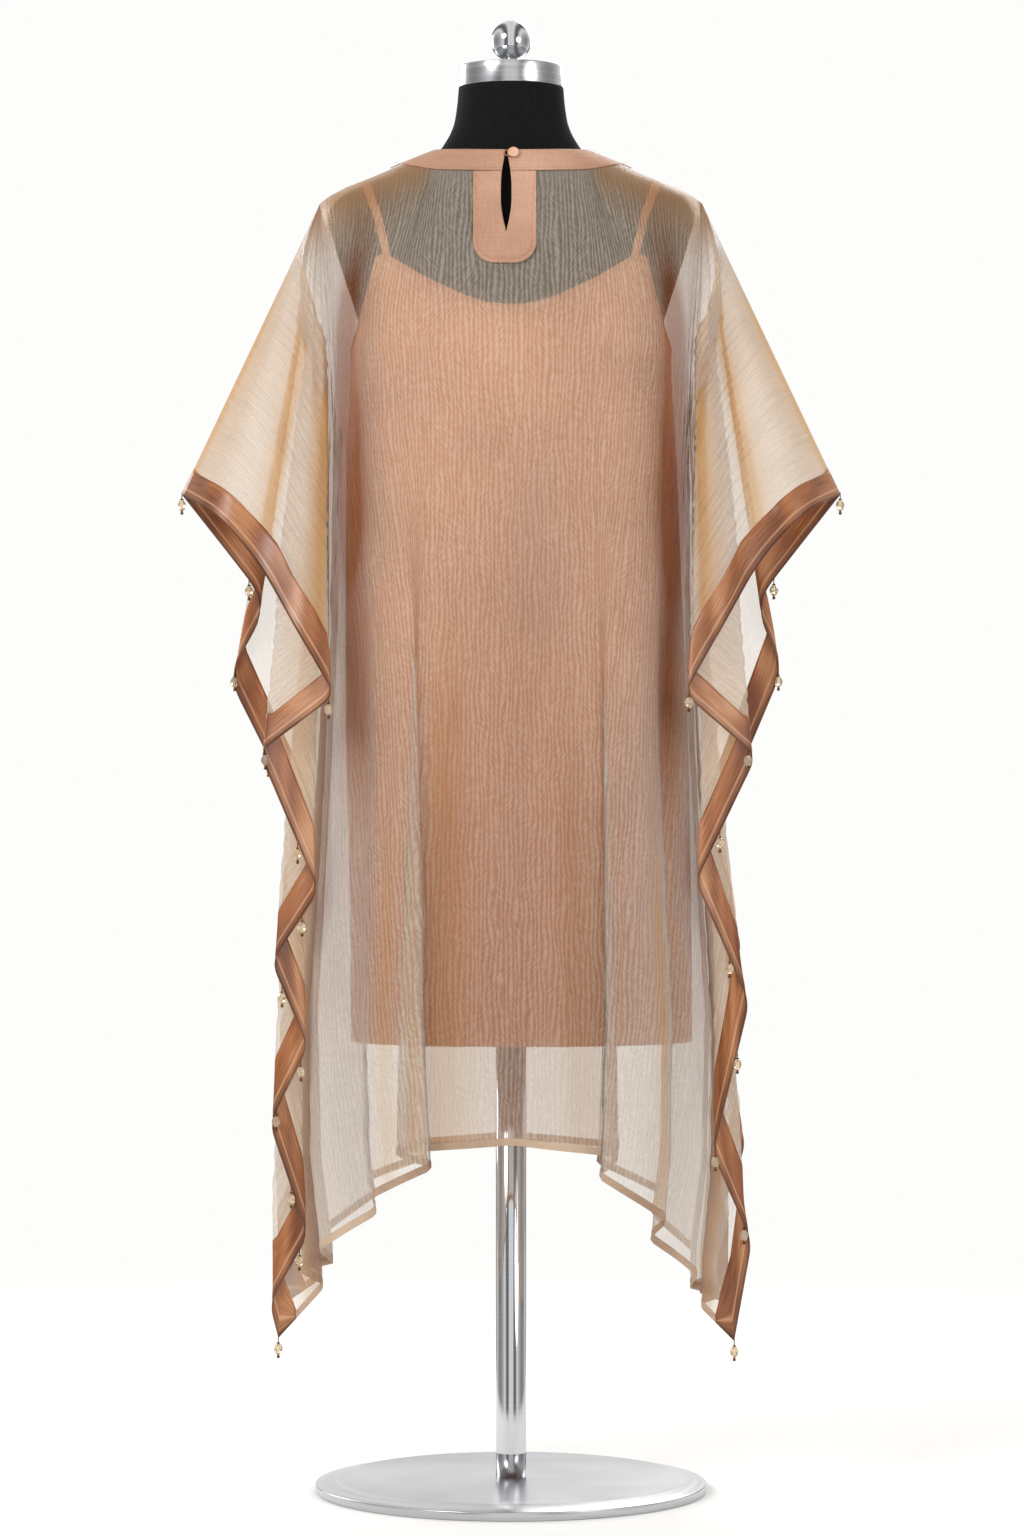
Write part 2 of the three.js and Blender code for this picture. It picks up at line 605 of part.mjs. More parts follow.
// How far along its ray each column stops short of the seam, so that the gap across the seam is even.
function setSeamGaps(columns) {
  const seamPoints = columns.map((c) => c.at(c.inner));
  columns.forEach((c, j) => {
    const ray = seamPoints[j].clone().sub(c.at(c.inner * 0.98)).normalize();
    const sines = [j - 1, j + 1]
      .filter((k) => columns[k] && seamPoints[k].distanceTo(seamPoints[j]) > 1)
      .map((k) => seamPoints[k].clone().sub(seamPoints[j]).normalize().cross(ray).length());
    const sine = Math.max(0.1, Math.min(...sines));
    c.gap = ((SEAM_GAP / 2) * (1 + 3 * (1 - sine))) / sine / c.bottom.distanceTo(apexPoint);
  });
}

const place = (quarter, p) => new THREE.Vector3(quarter.sideways * p.x, quarter.facing * p.y, p.z);

const quarters = Object.fromEntries(QUARTERS.map((q) => [q.name, { ...q, ...quarterColumns(q) }]));

// Both halves of a panel side by side, from the left sleeve tip to the right one. The last two rows of
// the grid are the inner and outer edge of its border and hem.
function panelGrid(side) {
  const [left, right] = [quarters[`${side}_left`], quarters[`${side}_right`]];
  const columns = [
    ...left.columns.map((c) => ({ ...c, quarter: left })),
    ...right.columns.slice(0, -1).reverse().map((c) => ({ ...c, quarter: right })),
  ];
  const rows = FLAP_ROWS.map((flapRow, i) => (c) => {
    const blend = c.kind === 'body' ? clamp01((1 - c.share) / BODY_ROW_BLEND) : 0;
    return lerp(flapRow, BODY_ROWS[i], blend) * (c.inner - c.gap);
  });
  rows.push((c) => c.inner + c.gap);
  rows.push(() => 1);
  const pointsOf = (row) => columns.map((c) => place(c.quarter, c.at(row(c))));
  const grid = rows.map(pointsOf);
  const seamLine = pointsOf((c) => c.inner);
  const seamed = [...grid.slice(0, FLAP_ROWS.length - 1), seamLine, grid[grid.length - 1]];
  const normals = gridNormals(seamed);
  for (const row of grid.slice(-3, -1)) {
    row.forEach((p, j) => normals.set(pointKey(p), normals.get(pointKey(seamLine[j]))));
  }
  return { columns, grid, normals, outward: side === 'back' ? 1 : -1 };
}

const panels = { back: panelGrid('back'), front: panelGrid('front') };

// Part of a panel's grid, for the columns that pass a test.
function piece({ columns, grid, normals, outward }, test, rows) {
  const chosen = columns.map((c, j) => (test(c) ? j : -1)).filter((j) => j >= 0);
  const cut = grid.slice(...rows).map((row) => chosen.map((j) => row[j]));
  return { grid: cut, options: { normals, outward } };
}

function makePanel(side) {
  const { grid, options } = piece(panels[side], () => true, [0, FLAP_ROWS.length]);
  return wallFromGrid(grid, CLOTH, options);
}

function beadAt(p) {
  const profile = BEAD_PROFILE.map((r) => new THREE.Vector2(r.radius, r.up)).reverse();
  const geometry = new THREE.LatheGeometry(profile, BEAD_SIDES);
  geometry.rotateX(Math.PI / 2);
  geometry.translate(p.x, p.y, p.z);
  return solidFrom(geometry);
}

// The border of one side edge, with its beads hanging from it.
function makeBorder(quarter) {
  const side = quarter.facing < 0 ? 'back' : 'front';
  const kinds = ['edge', 'corner', 'borderEnd'];
  const { grid, options } = piece(
    panels[side],
    (c) => c.quarter === quarter && kinds.includes(c.kind),
    [FLAP_ROWS.length],
  );
  let border = solidFrom(wallFromGrid(grid, BORDER_CLOTH, options));
  const columns = quarter.columns.filter((c) => kinds.includes(c.kind));
  for (const share of quarter.beads) {
    const run = share * quarter.length;
    const i = Math.max(1, columns.findIndex((c) => c.run >= run - 1e-6));
    const [a, b] = [columns[i - 1], columns[i]];
    const p = a.bottom.clone().lerp(b.bottom, clamp01((run - a.run) / (b.run - a.run)));
    if (share === 0) p.add(TIP_BEAD_SHIFT);
    border = border.add(beadAt(place(quarter, p)));
  }
  return geometryFrom(border);
}

function makeHem(side) {
  const { grid, options } = piece(
    panels[side],
    (c) => c.kind === 'hem' || c.kind === 'body',
    [FLAP_ROWS.length],
  );
  return wallFromGrid(grid, HEM_CLOTH, options);
}

// The upper middle of a panel moved out of its own face, from which the facing and placket are cut.
function overlay(side) {
  const inMiddle = (c) => c.kind === 'body' && c.share < OVERLAY.share;
  const { grid, options } = piece(panels[side], inMiddle, [0, OVERLAY.rows]);
  return solidFrom(wallFromGrid(grid, CLOTH, { ...options, lift: CLOTH + SEAM_GAP }));
}

// The keyhole: a slit that opens to a long drop below the button and comes to a point.
function keyholeCut() {
  const { out, top, shut, bottom, wide, widest, slit, point } = KEYHOLE;
  const right = [];
  const steps = 6;
  for (let i = 0; i <= steps; i++) {
    const up = lerp(bottom, shut, i / steps);
    const share = up < widest ? (up - bottom) / (widest - bottom) : 1 - (up - widest) / (shut - widest);
    const half = (wide / 2) * Math.sin((Math.PI / 2) * Math.min(1, share * 1.15));
    right.push({ x: out + Math.max(slit / 2, half), z: up });
  }
  right[0].x = out + point;
  right.push({ x: out + slit / 2, z: top });
  const left = right.map((p) => ({ x: 2 * out - p.x, z: p.z })).reverse();
  return prismAlongY([...right, ...left], -200, -20);
}

// The neck facing's outline from behind: along its lower edge from left to right, then over the neckline.
function backFacingRegion() {
  const left = FACING_EDGE.map((r) => ({ x: -r.out, z: r.up }));
  const right = FACING_EDGE.slice(0, -1).reverse().map((r) => ({ x: r.out, z: r.up }));
  const end = FACING_EDGE[0].out;
  return prismAlongY([...left, ...right, { x: end, z: KEYHOLE.top }, { x: -end, z: KEYHOLE.top }], -200, 0);
}

// The front neck facing's outline: a scoop below the neckline, narrower at the shoulders.
function frontFacingRegion() {
  const { width, aside, endDrop, steps } = FRONT_FACING;
  const reach = NECK.out + width + aside;
  const points = [];
  for (let i = 0; i <= steps; i++) {
    const turn = (Math.PI * i) / steps;
    const drop = (NECK.frontDrop + width) * Math.pow(Math.sin(turn), NECK.scoop);
    points.push({ x: -Math.cos(turn) * reach, z: NECK.up - endDrop - drop });
  }
  points.push({ x: reach, z: KEYHOLE.top }, { x: -reach, z: KEYHOLE.top });
  return prismAlongY(points, 0, 200);
}

// The patch round the keyhole, square at the top and round at its lower corners.
function placketRegion() {
  const { left, right, top, bottom, round } = PLACKET;
  const shape = [{ x: left, z: top }];
  const corner = (x, z, from) => {
    for (let i = 0; i <= 4; i++) {
      const turn = from + (Math.PI / 2) * (i / 4);
      shape.push({ x: x + round * Math.cos(turn), z: z + round * Math.sin(turn) });
    }
  };
  corner(left + round + 2, bottom + round, Math.PI);
  corner(right - round - 2, bottom + round, 1.5 * Math.PI);
  shape.push({ x: right, z: top });
  return prismAlongY(shape, -200, -20);
}

// Places a shape, drawn round the Z axis, on the back's cloth at a point, with its axis straight out.
function placeOnBack(geometry, out, up) {
  const pointAt = (x, z) => new THREE.Vector3(x, -standAt(CLOTH_SECTIONS, 'back', x, z) - RIDGE_DEEP, z);
  const [here, right, above] = [pointAt(out, up), pointAt(out + 2, up), pointAt(out, up + 2)];
  const across = right.sub(here).normalize();
  const outward = across.clone().cross(above.sub(here)).normalize();
  geometry.applyMatrix4(new THREE.Matrix4().makeBasis(across, outward.clone().cross(across), outward));
  return geometry.translate(here.x, here.y, here.z);
}

function makeButton() {
  const { radius, thick, shank, foot, face } = BUTTON;
  const rows = [
    [0, foot],
    [shank, foot],
    [shank, face],
    [radius, face],
    [radius, face + thick * 0.6],
    [radius * 0.85, face + thick],
    [radius * 0.6, face + thick * 0.7],
    [0, face + thick * 0.7],
  ];
  return placeOnBack(lathe(rows, 20), BUTTON.out, BUTTON.up);
}

function makeButtonLoop() {
  const { out, radius, stretch, cord, lift } = BUTTON_LOOP;
  const ring = new THREE.TorusGeometry(radius, cord, 6, 18);
  ring.scale(stretch, 1, 1);
  ring.translate(0, 0, lift);
  return placeOnBack(ring, out, BUTTON.up);
}

// The slip lining, front or back, from its scooped top to its hem.
function makeLining(side) {
  const facing = side === 'back' ? -1 : 1;
  const widest = LINING_TOP[LINING_TOP.length - 1].out;
  const half = LINING_TOP.map((r) => ({ spread: r.out / widest, top: r[side] }));
  const all = [...half.slice(1).reverse().map((r) => ({ ...r, spread: -r.spread })), ...half];
  const grid = LINING_ROWS.map((t) =>
    all.map((c) => {
      const up = lerp(c.top, LINING_HEM, t);
      const width = sectionAt(LINING_SECTIONS, 'half', up);
      const wave = LINING_WAVE.deep * t * t * Math.cos(c.spread * 2 * Math.PI * LINING_WAVE.turns);
      const topWidth = sectionAt(LINING_SECTIONS, 'half', c.top);
      const out = lerp((c.spread * widest) / topWidth, c.spread, smooth(0, NECK_EASE, t)) * width;
      const deep = standAt(LINING_SECTIONS, side, out, up) + wave * (1 - c.spread * c.spread);
      const aside = LINING_ASIDE.out * smooth(LINING_ASIDE.from, LINING_HEM, up);
      return new THREE.Vector3(out + aside, facing * Math.max(RIDGE_DEEP, deep), up);
    }),
  );
  return wallFromGrid(grid, LINING_CLOTH, { outward: side === 'back' ? 1 : -1 });
}

// How far a point is outside the form's rounded sections: 0 on them.
function formLevel(p) {
  const half = sectionAt(FORM_SECTIONS, 'half', p.z);
  const deep = sectionAt(FORM_SECTIONS, p.y < 0 ? 'back' : 'front', p.z);
  const power = 2 / ELLIPSE_POWER;
  return Math.pow(Math.abs(p.x) / half, power) + Math.pow(Math.abs(p.y) / deep, power) - 1;
}

// The direction straight out of the form at a point.
function formOut(p) {
  const step = 0.5;
  const slope = ['x', 'y', 'z'].map((axis) => {
    const [a, b] = [p.clone(), p.clone()];
    a[axis] += step;
    b[axis] -= step;
    return (formLevel(a) - formLevel(b)) / (2 * step);
  });
  return new THREE.Vector3(...slope);
}

// The nearest point of the form's skin, moved out by a lift.
function ontoForm(point, lift) {
  const p = point.clone();
  for (let i = 0; i < 12; i++) {
    const slope = formOut(p);
    p.addScaledVector(slope, -formLevel(p) / slope.lengthSq());
  }
  return p.addScaledVector(formOut(p).normalize(), lift);
}

// A strap's middle line from the lining's back, over the form's shoulder, to its front.
function strapLine(sideways) {
  const line = [];
  for (let i = 0; i <= STRAP.steps; i++) {
    const turn = (Math.PI * i) / STRAP.steps;
    const over = Math.pow(Math.sin(turn), STRAP.rise);
    const out = lerp(STRAP.outLow, STRAP.outHigh, over);
    const deep = -STRAP.deep * Math.cos(turn);
    const start = new THREE.Vector3(sideways * out, deep, lerp(STRAP.low, STRAP.high, over));
    const lift = lerp(STRAP.endLift, STRAP.lift, smooth(0, STRAP.ease, over));
    line.push({ p: ontoForm(start, STRAP.lift), lift });
  }
  return line;
}

function makeStrap(sideways) {
  const line = strapLine(sideways);
  const ribbon = line.map(({ p, lift }, i) => {
    const along = line[Math.min(i + 1, line.length - 1)].p.clone().sub(line[Math.max(i - 1, 0)].p);
    const across = formOut(p).cross(along).normalize();
    const edges = [-STRAP.width / 2, 0, STRAP.width / 2];
    return edges.map((edge) => ontoForm(p.clone().addScaledVector(across, edge), lift));
  });
  return wallFromGrid(ribbon, STRAP.thick);
}

// A ring lying on a strap, near the back of the lining.
function makeSlider(sideways) {
  const line = strapLine(sideways);
  const { p } = line[SLIDER.row];
  const out = formOut(p).normalize();
  const along = line[SLIDER.row + 1].p.clone().sub(p).normalize();
  const ring = new THREE.TorusGeometry(SLIDER.radius, SLIDER.wire, 6, 14);
  const across = out.clone().cross(along).normalize();
  ring.applyMatrix4(new THREE.Matrix4().makeBasis(across.clone().cross(out), across, out));
  const middle = ontoForm(p, STRAP.lift + STRAP.thick / 2 + SEAM_GAP + SLIDER.wire + 0.1);
  ring.translate(middle.x, middle.y, middle.z);
  return ring;
}

// The dress form.
function makeForm() {
  const around = 28;
  const rings = FORM_SECTIONS.map((r) => {
    const ring = [];
    for (let i = 0; i < around; i++) {
      const turn = (2 * Math.PI * i) / around;
      const [s, c] = [Math.sin(turn), Math.cos(turn)];
      const deep = c > 0 ? r.back : r.front;
      const power = r.up > 1440 ? 1 : ELLIPSE_POWER;
      ring.push(
        new THREE.Vector3(
          r.half * Math.sign(s) * Math.pow(Math.abs(s), power),
          -deep * Math.sign(c) * Math.pow(Math.abs(c), power),
          r.up,
        ),
      );
    }
    return ring;
  });
  const positions = [];
  const triangle = (...ps) => ps.forEach((p) => positions.push(p.x, p.y, p.z));
  const cap = (ring, middle, upwards) => {
    for (let i = 0; i < around; i++) {
      const [a, b] = [ring[i], ring[(i + 1) % around]];
      if (upwards) triangle(middle, a, b);
      else triangle(middle, b, a);
    }
  };
  for (let k = 0; k + 1 < rings.length; k++) {
    for (let i = 0; i < around; i++) {
      const j = (i + 1) % around;
      triangle(rings[k][i], rings[k][j], rings[k + 1][j]);
      triangle(rings[k][i], rings[k + 1][j], rings[k + 1][i]);
    }
  }
  cap(rings[0], new THREE.Vector3(0, 0, rings[0][0].z), false);
  cap(rings[rings.length - 1], new THREE.Vector3(0, 0, rings[rings.length - 1][0].z), true);
  const geometry = new THREE.BufferGeometry();
  geometry.setAttribute('position', new THREE.Float32BufferAttribute(positions, 3));
  return geometry;
}

function makeFinial() {
  const rows = [
    [0, CAP.top + SEAM_GAP],
    [FINIAL.stem, CAP.top + SEAM_GAP],
  ];
  const start = Math.asin(FINIAL.stem / FINIAL.ball);
  const steps = 9;
  for (let i = 0; i <= steps; i++) {
    const turn = lerp(start, Math.PI, i / steps);
    rows.push([i === steps ? 0 : FINIAL.ball * Math.sin(turn), FINIAL.middle - FINIAL.ball * Math.cos(turn)]);
  }
  return lathe(rows, 24);
}

// The node tree.
const finishes = {
  sheer: { color: 0xc9a27c, roughness: 0.6, metalness: 0, transparent: true, opacity: 0.6 },
  satin: { color: 0xb0744c, roughness: 0.35, metalness: 0 },
  hem: { color: 0xd9b491, roughness: 0.6, metalness: 0 },
  facing: { color: 0xe0b08a, roughness: 0.65, metalness: 0 },
  lining: { color: 0xd9a074, roughness: 0.7, metalness: 0 },
  pearl: { color: 0xd8b98a, roughness: 0.25, metalness: 0 },
  form: { color: 0x0c0c0c, roughness: 0.9, metalness: 0 },
  chrome: { color: 0xd0d0d0, roughness: 0.12, metalness: 1 },
};

const kaftan = new THREE.Group();
const lining = new THREE.Group();
const dressForm = new THREE.Group();
function add(group, name, geometry, finish) {
  const mesh = new THREE.Mesh(geometry, new THREE.MeshStandardMaterial(finishes[finish]));
  mesh.name = name;
  group.add(mesh);
}

const keyhole = keyholeCut();
add(kaftan, 'back_panel', geometryFrom(solidFrom(makePanel('back')).subtract(keyhole)), 'sheer');
add(kaftan, 'front_panel', makePanel('front'), 'sheer');
for (const quarter of Object.values(quarters)) {
  add(kaftan, `border_${quarter.name}`, makeBorder(quarter), 'satin');
}
for (const side of ['back', 'front']) add(kaftan, `hem_${side}`, makeHem(side), 'hem');

const backOverlay = overlay('back');
const facingHalves = backOverlay.intersect(backFacingRegion()).subtract(keyhole).decompose();
for (const half of facingHalves) {
  const box = half.boundingBox();
  const sideName = box.min[0] + box.max[0] < 2 * KEYHOLE.out ? 'left' : 'right';
  add(kaftan, `neck_facing_back_${sideName}`, geometryFrom(half), 'facing');
}
add(kaftan, 'neck_facing_front', geometryFrom(overlay('front').intersect(frontFacingRegion())), 'facing');
const placket = backOverlay.intersect(placketRegion()).subtract(keyhole);
add(kaftan, 'keyhole_placket', geometryFrom(placket), 'facing');

add(kaftan, 'button', makeButton(), 'pearl');
add(kaftan, 'button_loop', makeButtonLoop(), 'satin');

for (const side of ['back', 'front']) add(lining, `lining_${side}`, makeLining(side), 'lining');
for (const sideways of [-1, 1]) {
  const sideName = sideways < 0 ? 'left' : 'right';
  add(lining, `strap_${sideName}`, makeStrap(sideways), 'lining');
  add(lining, `slider_${sideName}`, makeSlider(sideways), 'pearl');
}

add(dressForm, 'form_body', makeForm(), 'form');
const capRows = [
  [0, CAP.bottom],
  [CAP.radius, CAP.bottom],
  [CAP.radius, CAP.top - CAP.bevel],
  [CAP.radius - CAP.bevel, CAP.top],
  [0, CAP.top],
];
add(dressForm, 'form_neck_cap', lathe(capRows, 32), 'chrome');
add(dressForm, 'form_finial', makeFinial(), 'chrome');
const poleRows = [
  [0, BASE.top + SEAM_GAP],
  [POLE.radius, BASE.top + SEAM_GAP],
  [POLE.radius, POLE.top],
  [0, POLE.top],
];
add(dressForm, 'form_pole', lathe(poleRows, 20), 'chrome');
const baseRows = [
  [0, 0],
  [BASE.radius, 0],
  [BASE.radius, BASE.edge],
  [BASE.shoulder, BASE.top],
  [0, BASE.top],
];
add(dressForm, 'form_base', lathe(baseRows, 40), 'chrome');

const part = new THREE.Group();
part.add(kaftan, lining, dressForm);
export default part;
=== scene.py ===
import bmesh
import bpy
import numpy as np
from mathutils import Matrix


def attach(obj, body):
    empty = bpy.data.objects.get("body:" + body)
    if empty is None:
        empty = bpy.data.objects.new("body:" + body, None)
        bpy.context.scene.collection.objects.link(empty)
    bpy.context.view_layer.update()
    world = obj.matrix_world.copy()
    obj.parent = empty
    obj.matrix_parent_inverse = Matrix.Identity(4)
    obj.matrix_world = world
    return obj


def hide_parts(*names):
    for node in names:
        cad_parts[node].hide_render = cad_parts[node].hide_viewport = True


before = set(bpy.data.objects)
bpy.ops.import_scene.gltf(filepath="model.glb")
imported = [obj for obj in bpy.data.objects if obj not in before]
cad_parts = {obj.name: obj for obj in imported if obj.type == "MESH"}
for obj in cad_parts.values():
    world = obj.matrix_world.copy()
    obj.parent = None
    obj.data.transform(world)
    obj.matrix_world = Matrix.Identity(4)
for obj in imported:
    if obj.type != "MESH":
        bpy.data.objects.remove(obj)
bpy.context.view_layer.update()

mm = 0.001  # every table below is in millimetres, every mesh in metres
dice = np.random.default_rng(11)
print("frame loaded:", len(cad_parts), "nodes")

# The kaftan's back faces -Y, its wearer's left is at -X, and the floor is z = 0.


def mix(a, b, t):
    # the point a share t of the way from a to b
    return a + (b - a) * t


def smooth(a, b, t):
    # 0 before a and 1 past b, eased between by 3s squared less 2s cubed
    s = np.clip((t - a) / (b - a), 0, 1)
    return s * s * (3 - 2 * s)


def unit(v):
    # each vector divided by its length
    return v / np.maximum(np.linalg.norm(v, axis=-1, keepdims=True), 1e-9)


def at(rows, key, up):
    # a table's column at a height, straight between its rows
    return np.interp(up, rows["up"], rows[key])


def eased(x, xs, ys):
    # a cubic through the rows whose slope at each row is the mean of its neighbours'
    xs, ys = np.array(xs, float), np.array(ys, float)
    slope = np.gradient(ys, xs)
    k = np.clip(np.searchsorted(xs, x) - 1, 0, len(xs) - 2)
    width = xs[k + 1] - xs[k]
    s = np.clip((x - xs[k]) / width, 0, 1)
    a, b = ys[k], ys[k + 1]
    bend = (1 - s) ** 2 * s * slope[k] - s**2 * (1 - s) * slope[k + 1]
    return a + (b - a) * s * s * (3 - 2 * s) + bend * width


border = {"width": 27, "thick": 1.0, "prefix": "satin_", "material": "satin", "slot": "satin_border"}


# Materials

def linear(colour):
    # sRGB hex to linear light
    s = np.array([int(colour[i:i + 2], 16) for i in (1, 3, 5)]) / 255
    return (*np.where(s <= 0.04045, s / 12.92, ((s + 0.055) / 1.055) ** 2.4), 1.0)


def node(tree, kind, links, **settings):
    # a node with its settings, and each input either joined to another node's output or set
    made = tree.nodes.new("ShaderNode" + kind)
    for key, value in settings.items():
        setattr(made, key, value)
    for socket, value in links.items():
        if isinstance(value, bpy.types.NodeSocket):
            tree.links.new(value, made.inputs[socket])
        else:
            made.inputs[socket].default_value = value
    return made.outputs


def math(tree, operation, *values):
    # one sum on up to three values
    return node(tree, "Math", dict(enumerate(values)), operation=operation)[0]


def spread(tree, value, low, high, toLow=0.0, toHigh=1.0):
    # one range of numbers stretched to another
    ends = {"From Min": low, "From Max": high, "To Min": toLow, "To Max": toHigh}
    return node(tree, "MapRange", {"Value": value, **ends})[0]


def mixed(tree, factor, a, b):
    # one number into another
    return node(tree, "Mix", {"Factor": factor, "A": a, "B": b}, data_type="FLOAT")[0]


def blend(tree, factor, a, b, how="MIX"):
    # one colour into another
    sockets = {"Factor": factor, "A": a, "B": b}
    return node(tree, "Mix", sockets, data_type="RGBA", blend_type=how)["Result"]


def noise(tree, place, size, detail=2.0, scale=1.0):
    # soft noise over a place stretched by a size along each of its three axes
    wide = node(tree, "VectorMath", {0: place, 1: size}, operation="MULTIPLY")[0]
    return node(tree, "TexNoise", {"Vector": wide, "Scale": scale, "Detail": detail})[0]


def bumped(tree, height, strength, depth, **under):
    # a relief so many millimetres deep
    return node(tree, "Bump", {"Height": height, "Strength": strength, "Distance": depth * mm, **under})[0]


def over(tree, factor, under, top):
    # one shader over another
    return node(tree, "MixShader", {0: factor, 1: under, 2: top})[0]


def ramp(tree, factor, stops):
    # a row of colours, each at its place from 0 to 1
    made = tree.nodes.new("ShaderNodeValToRGB")
    tree.links.new(factor, made.inputs["Fac"])
    elements = made.color_ramp.elements
    while len(elements) < len(stops):
        elements.new(0.5)
    for element, (place, colour) in zip(elements, stops):
        element.position = place
        element.color = linear(colour)
    return made.outputs["Color"]


def newMaterial(name, uv=None):
    # a material's empty tree and its place, the named flat coordinates or else the object's own
    material = bpy.data.materials.new(name)
    material.use_nodes = True
    tree = material.node_tree
    tree.nodes.clear()
    place = node(tree, "UVMap", {}, uv_map=uv)["UV"] if uv else node(tree, "TexCoord", {})["Object"]
    return material, tree, place


def finish(material, tree, shader):
    # joins the last shader to the surface
    output = tree.nodes.new("ShaderNodeOutputMaterial")
    tree.links.new(shader, output.inputs["Surface"])
    return material


organza = {
    "rib": 4.2,  # mm between the long crinkles
    "ribBend": (15, 70),  # mm, how they wander across and down
    "wander": 2.6,  # ribs
    "streak": (2.6, 60),
    "streakShare": 0.36,
    "worm": (1.8, 9.0),  # the short crinkles
    "wormTurn": 0.5,  # radians, how far they lean
    "wormPatch": (38, 60),  # mm, where they lean one way or the other
    "wormShare": 0.42,
    "relief": 0.85,
    "share": 0.72,  # of the light that the threads catch, what they throw back
    "cover": (0.38, 0.51),  # how much of the view the threads take, in the hollows and on the crests
    # more cover where gold light and brown shade are painted
    "litGoldCover": 0.12,
    "shadeBrownCover": 0.1,
    "edge": 1.9,  # how sharply the sheen comes in as the cloth turns away
    # how much the painted lavender sheen bands add to the sheen
    "paintedSheen": 0.34,
    "closed": 0.7,  # how much of the sheen shows where the cloth turns away
    # the threads' own colour, painted darker in a crinkle's hollows and lighter on its crests
    "cool": [(0.0, "#ccb9a4"), (0.5, "#e0cfbc"), (1.0, "#f3e7d8")],
    "warm": "#faeddd",
    # colours under painted gold light and painted brown shade: on the threads, glowing through them, and seen
    # between them
    "litGoldCool": "#d2a468",
    "litGoldWarm": "#ecaf5c",
    "shadeBrownCool": "#96592c",
    "shadeBrownWarm": "#b26c38",
    "litGoldLight": "#f4dfba",
    "shadeBrownLight": "#aa7850",
    "sheen": "#b3a49c",
    "depth": 2.2,
}


def organzaMaterial():
    # crinkled metallic organza, plain woven from silver-grey and gold yarn and crushed lengthwise: grey
    # over black, cream over white, gold where it lies double, with a lavender sheen where it turns away;
    # gold light, more sheen and brown shade are painted on in bands, and the crinkles are painted darker
    # in their hollows and lighter on their crests
    o = organza
    material, tree, flat = newMaterial("crinkled_two_tone_organza", "flat")

    def grains(size, turn=0.0, detail=2.0):
        # soft noise whose grains are this many millimetres across and down the cloth
        laid = node(tree, "Mapping", {"Vector": flat, "Rotation": (0, 0, turn)})[0]
        return noise(tree, laid, (1 / (size[0] * mm), 1 / (size[1] * mm), 1), detail)

    across = node(tree, "SeparateXYZ", {0: flat})["X"]
    wander = math(tree, "MULTIPLY", grains(o["ribBend"]), o["wander"])
    turns = math(tree, "MULTIPLY_ADD", across, 1 / (o["rib"] * mm), wander)
    ribs = spread(tree, math(tree, "SINE", math(tree, "MULTIPLY", turns, 2 * np.pi)), -1.0, 1.0)
    streaks = spread(tree, grains(o["streak"], detail=3.0), 0.3, 0.7)
    long = mixed(tree, o["streakShare"], ribs, streaks)
    side = spread(tree, grains(o["wormPatch"], detail=1.0), 0.45, 0.55)
    worms = mixed(tree, side, grains(o["worm"], o["wormTurn"]), grains(o["worm"], -o["wormTurn"]))
    height = mixed(tree, o["wormShare"], long, spread(tree, worms, 0.3, 0.7))
    paintedLightAndCrush = node(tree, "Attribute", {}, attribute_name="paintedLightAndCrush")
    bump = bumped(tree, height, math(tree, "MULTIPLY", paintedLightAndCrush["Alpha"], o["relief"]), o["depth"])

    # painted light and shade: the threads take a darker colour in a crinkle's hollows and a lighter one on
    # its crests
    crest = mixed(tree, paintedLightAndCrush["Alpha"], 0.6, spread(tree, height, 0.25, 0.75))
    # painted gold light, painted lavender sheen and painted brown shade, one to a channel
    litGold, paintedSheen, deep = list(node(tree, "SeparateColor", {0: paintedLightAndCrush["Color"]}))[:3]

    def withPaintedLight(colour, ofLitGold, ofShadeBrown):
        # a colour, then its gold where gold light is painted, then its brown where shade is painted
        return blend(tree, deep, blend(tree, litGold, colour, linear(o[ofLitGold])), linear(o[ofShadeBrown]))

    cool = withPaintedLight(ramp(tree, crest, o["cool"]), "litGoldCool", "shadeBrownCool")
    warm = withPaintedLight(linear(o["warm"]), "litGoldWarm", "shadeBrownWarm")
    filtered = withPaintedLight(linear("#ffffff"), "litGoldLight", "shadeBrownLight")
    sheenColour = withPaintedLight(linear(o["sheen"]), "litGoldCool", "shadeBrownCool")
    plain = spread(tree, crest, 0.0, 1.0, *o["cover"])
    # the threads cover more under painted gold light and painted brown shade
    coverWithLitGold = math(tree, "MULTIPLY_ADD", litGold, o["litGoldCover"], plain)
    cover = math(tree, "MULTIPLY_ADD", deep, o["shadeBrownCover"], coverWithLitGold)
    threads = node(tree, "BsdfPrincipled", {
        "Base Color": cool, "Roughness": 0.4, "Normal": bump, "Alpha": cover, "Sheen Weight": 0.3,
        "Sheen Roughness": 0.35, "Sheen Tint": linear("#d5cad6"),
    })[0]
    glow = node(tree, "BsdfTranslucent", {"Color": warm, "Normal": bump})[0]
    through = over(tree, cover, node(tree, "BsdfTransparent", {"Color": filtered})[0], glow)
    both = over(tree, o["share"], through, threads)
    turning = node(tree, "LayerWeight", {"Blend": 0.5})["Facing"]
    steep = math(tree, "MULTIPLY", math(tree, "POWER", turning, o["edge"]), o["closed"])
    # the painted lavender sheen bands add to the sheen that comes in as the cloth turns away
    closed = math(tree, "MULTIPLY_ADD", paintedSheen, o["paintedSheen"], steep)
    sheen = node(tree, "BsdfPrincipled", {
        "Base Color": sheenColour, "Roughness": 0.45, "Normal": bump, "Sheen Weight": 0.4,
    })[0]
    return finish(material, tree, over(tree, closed, both, sheen))


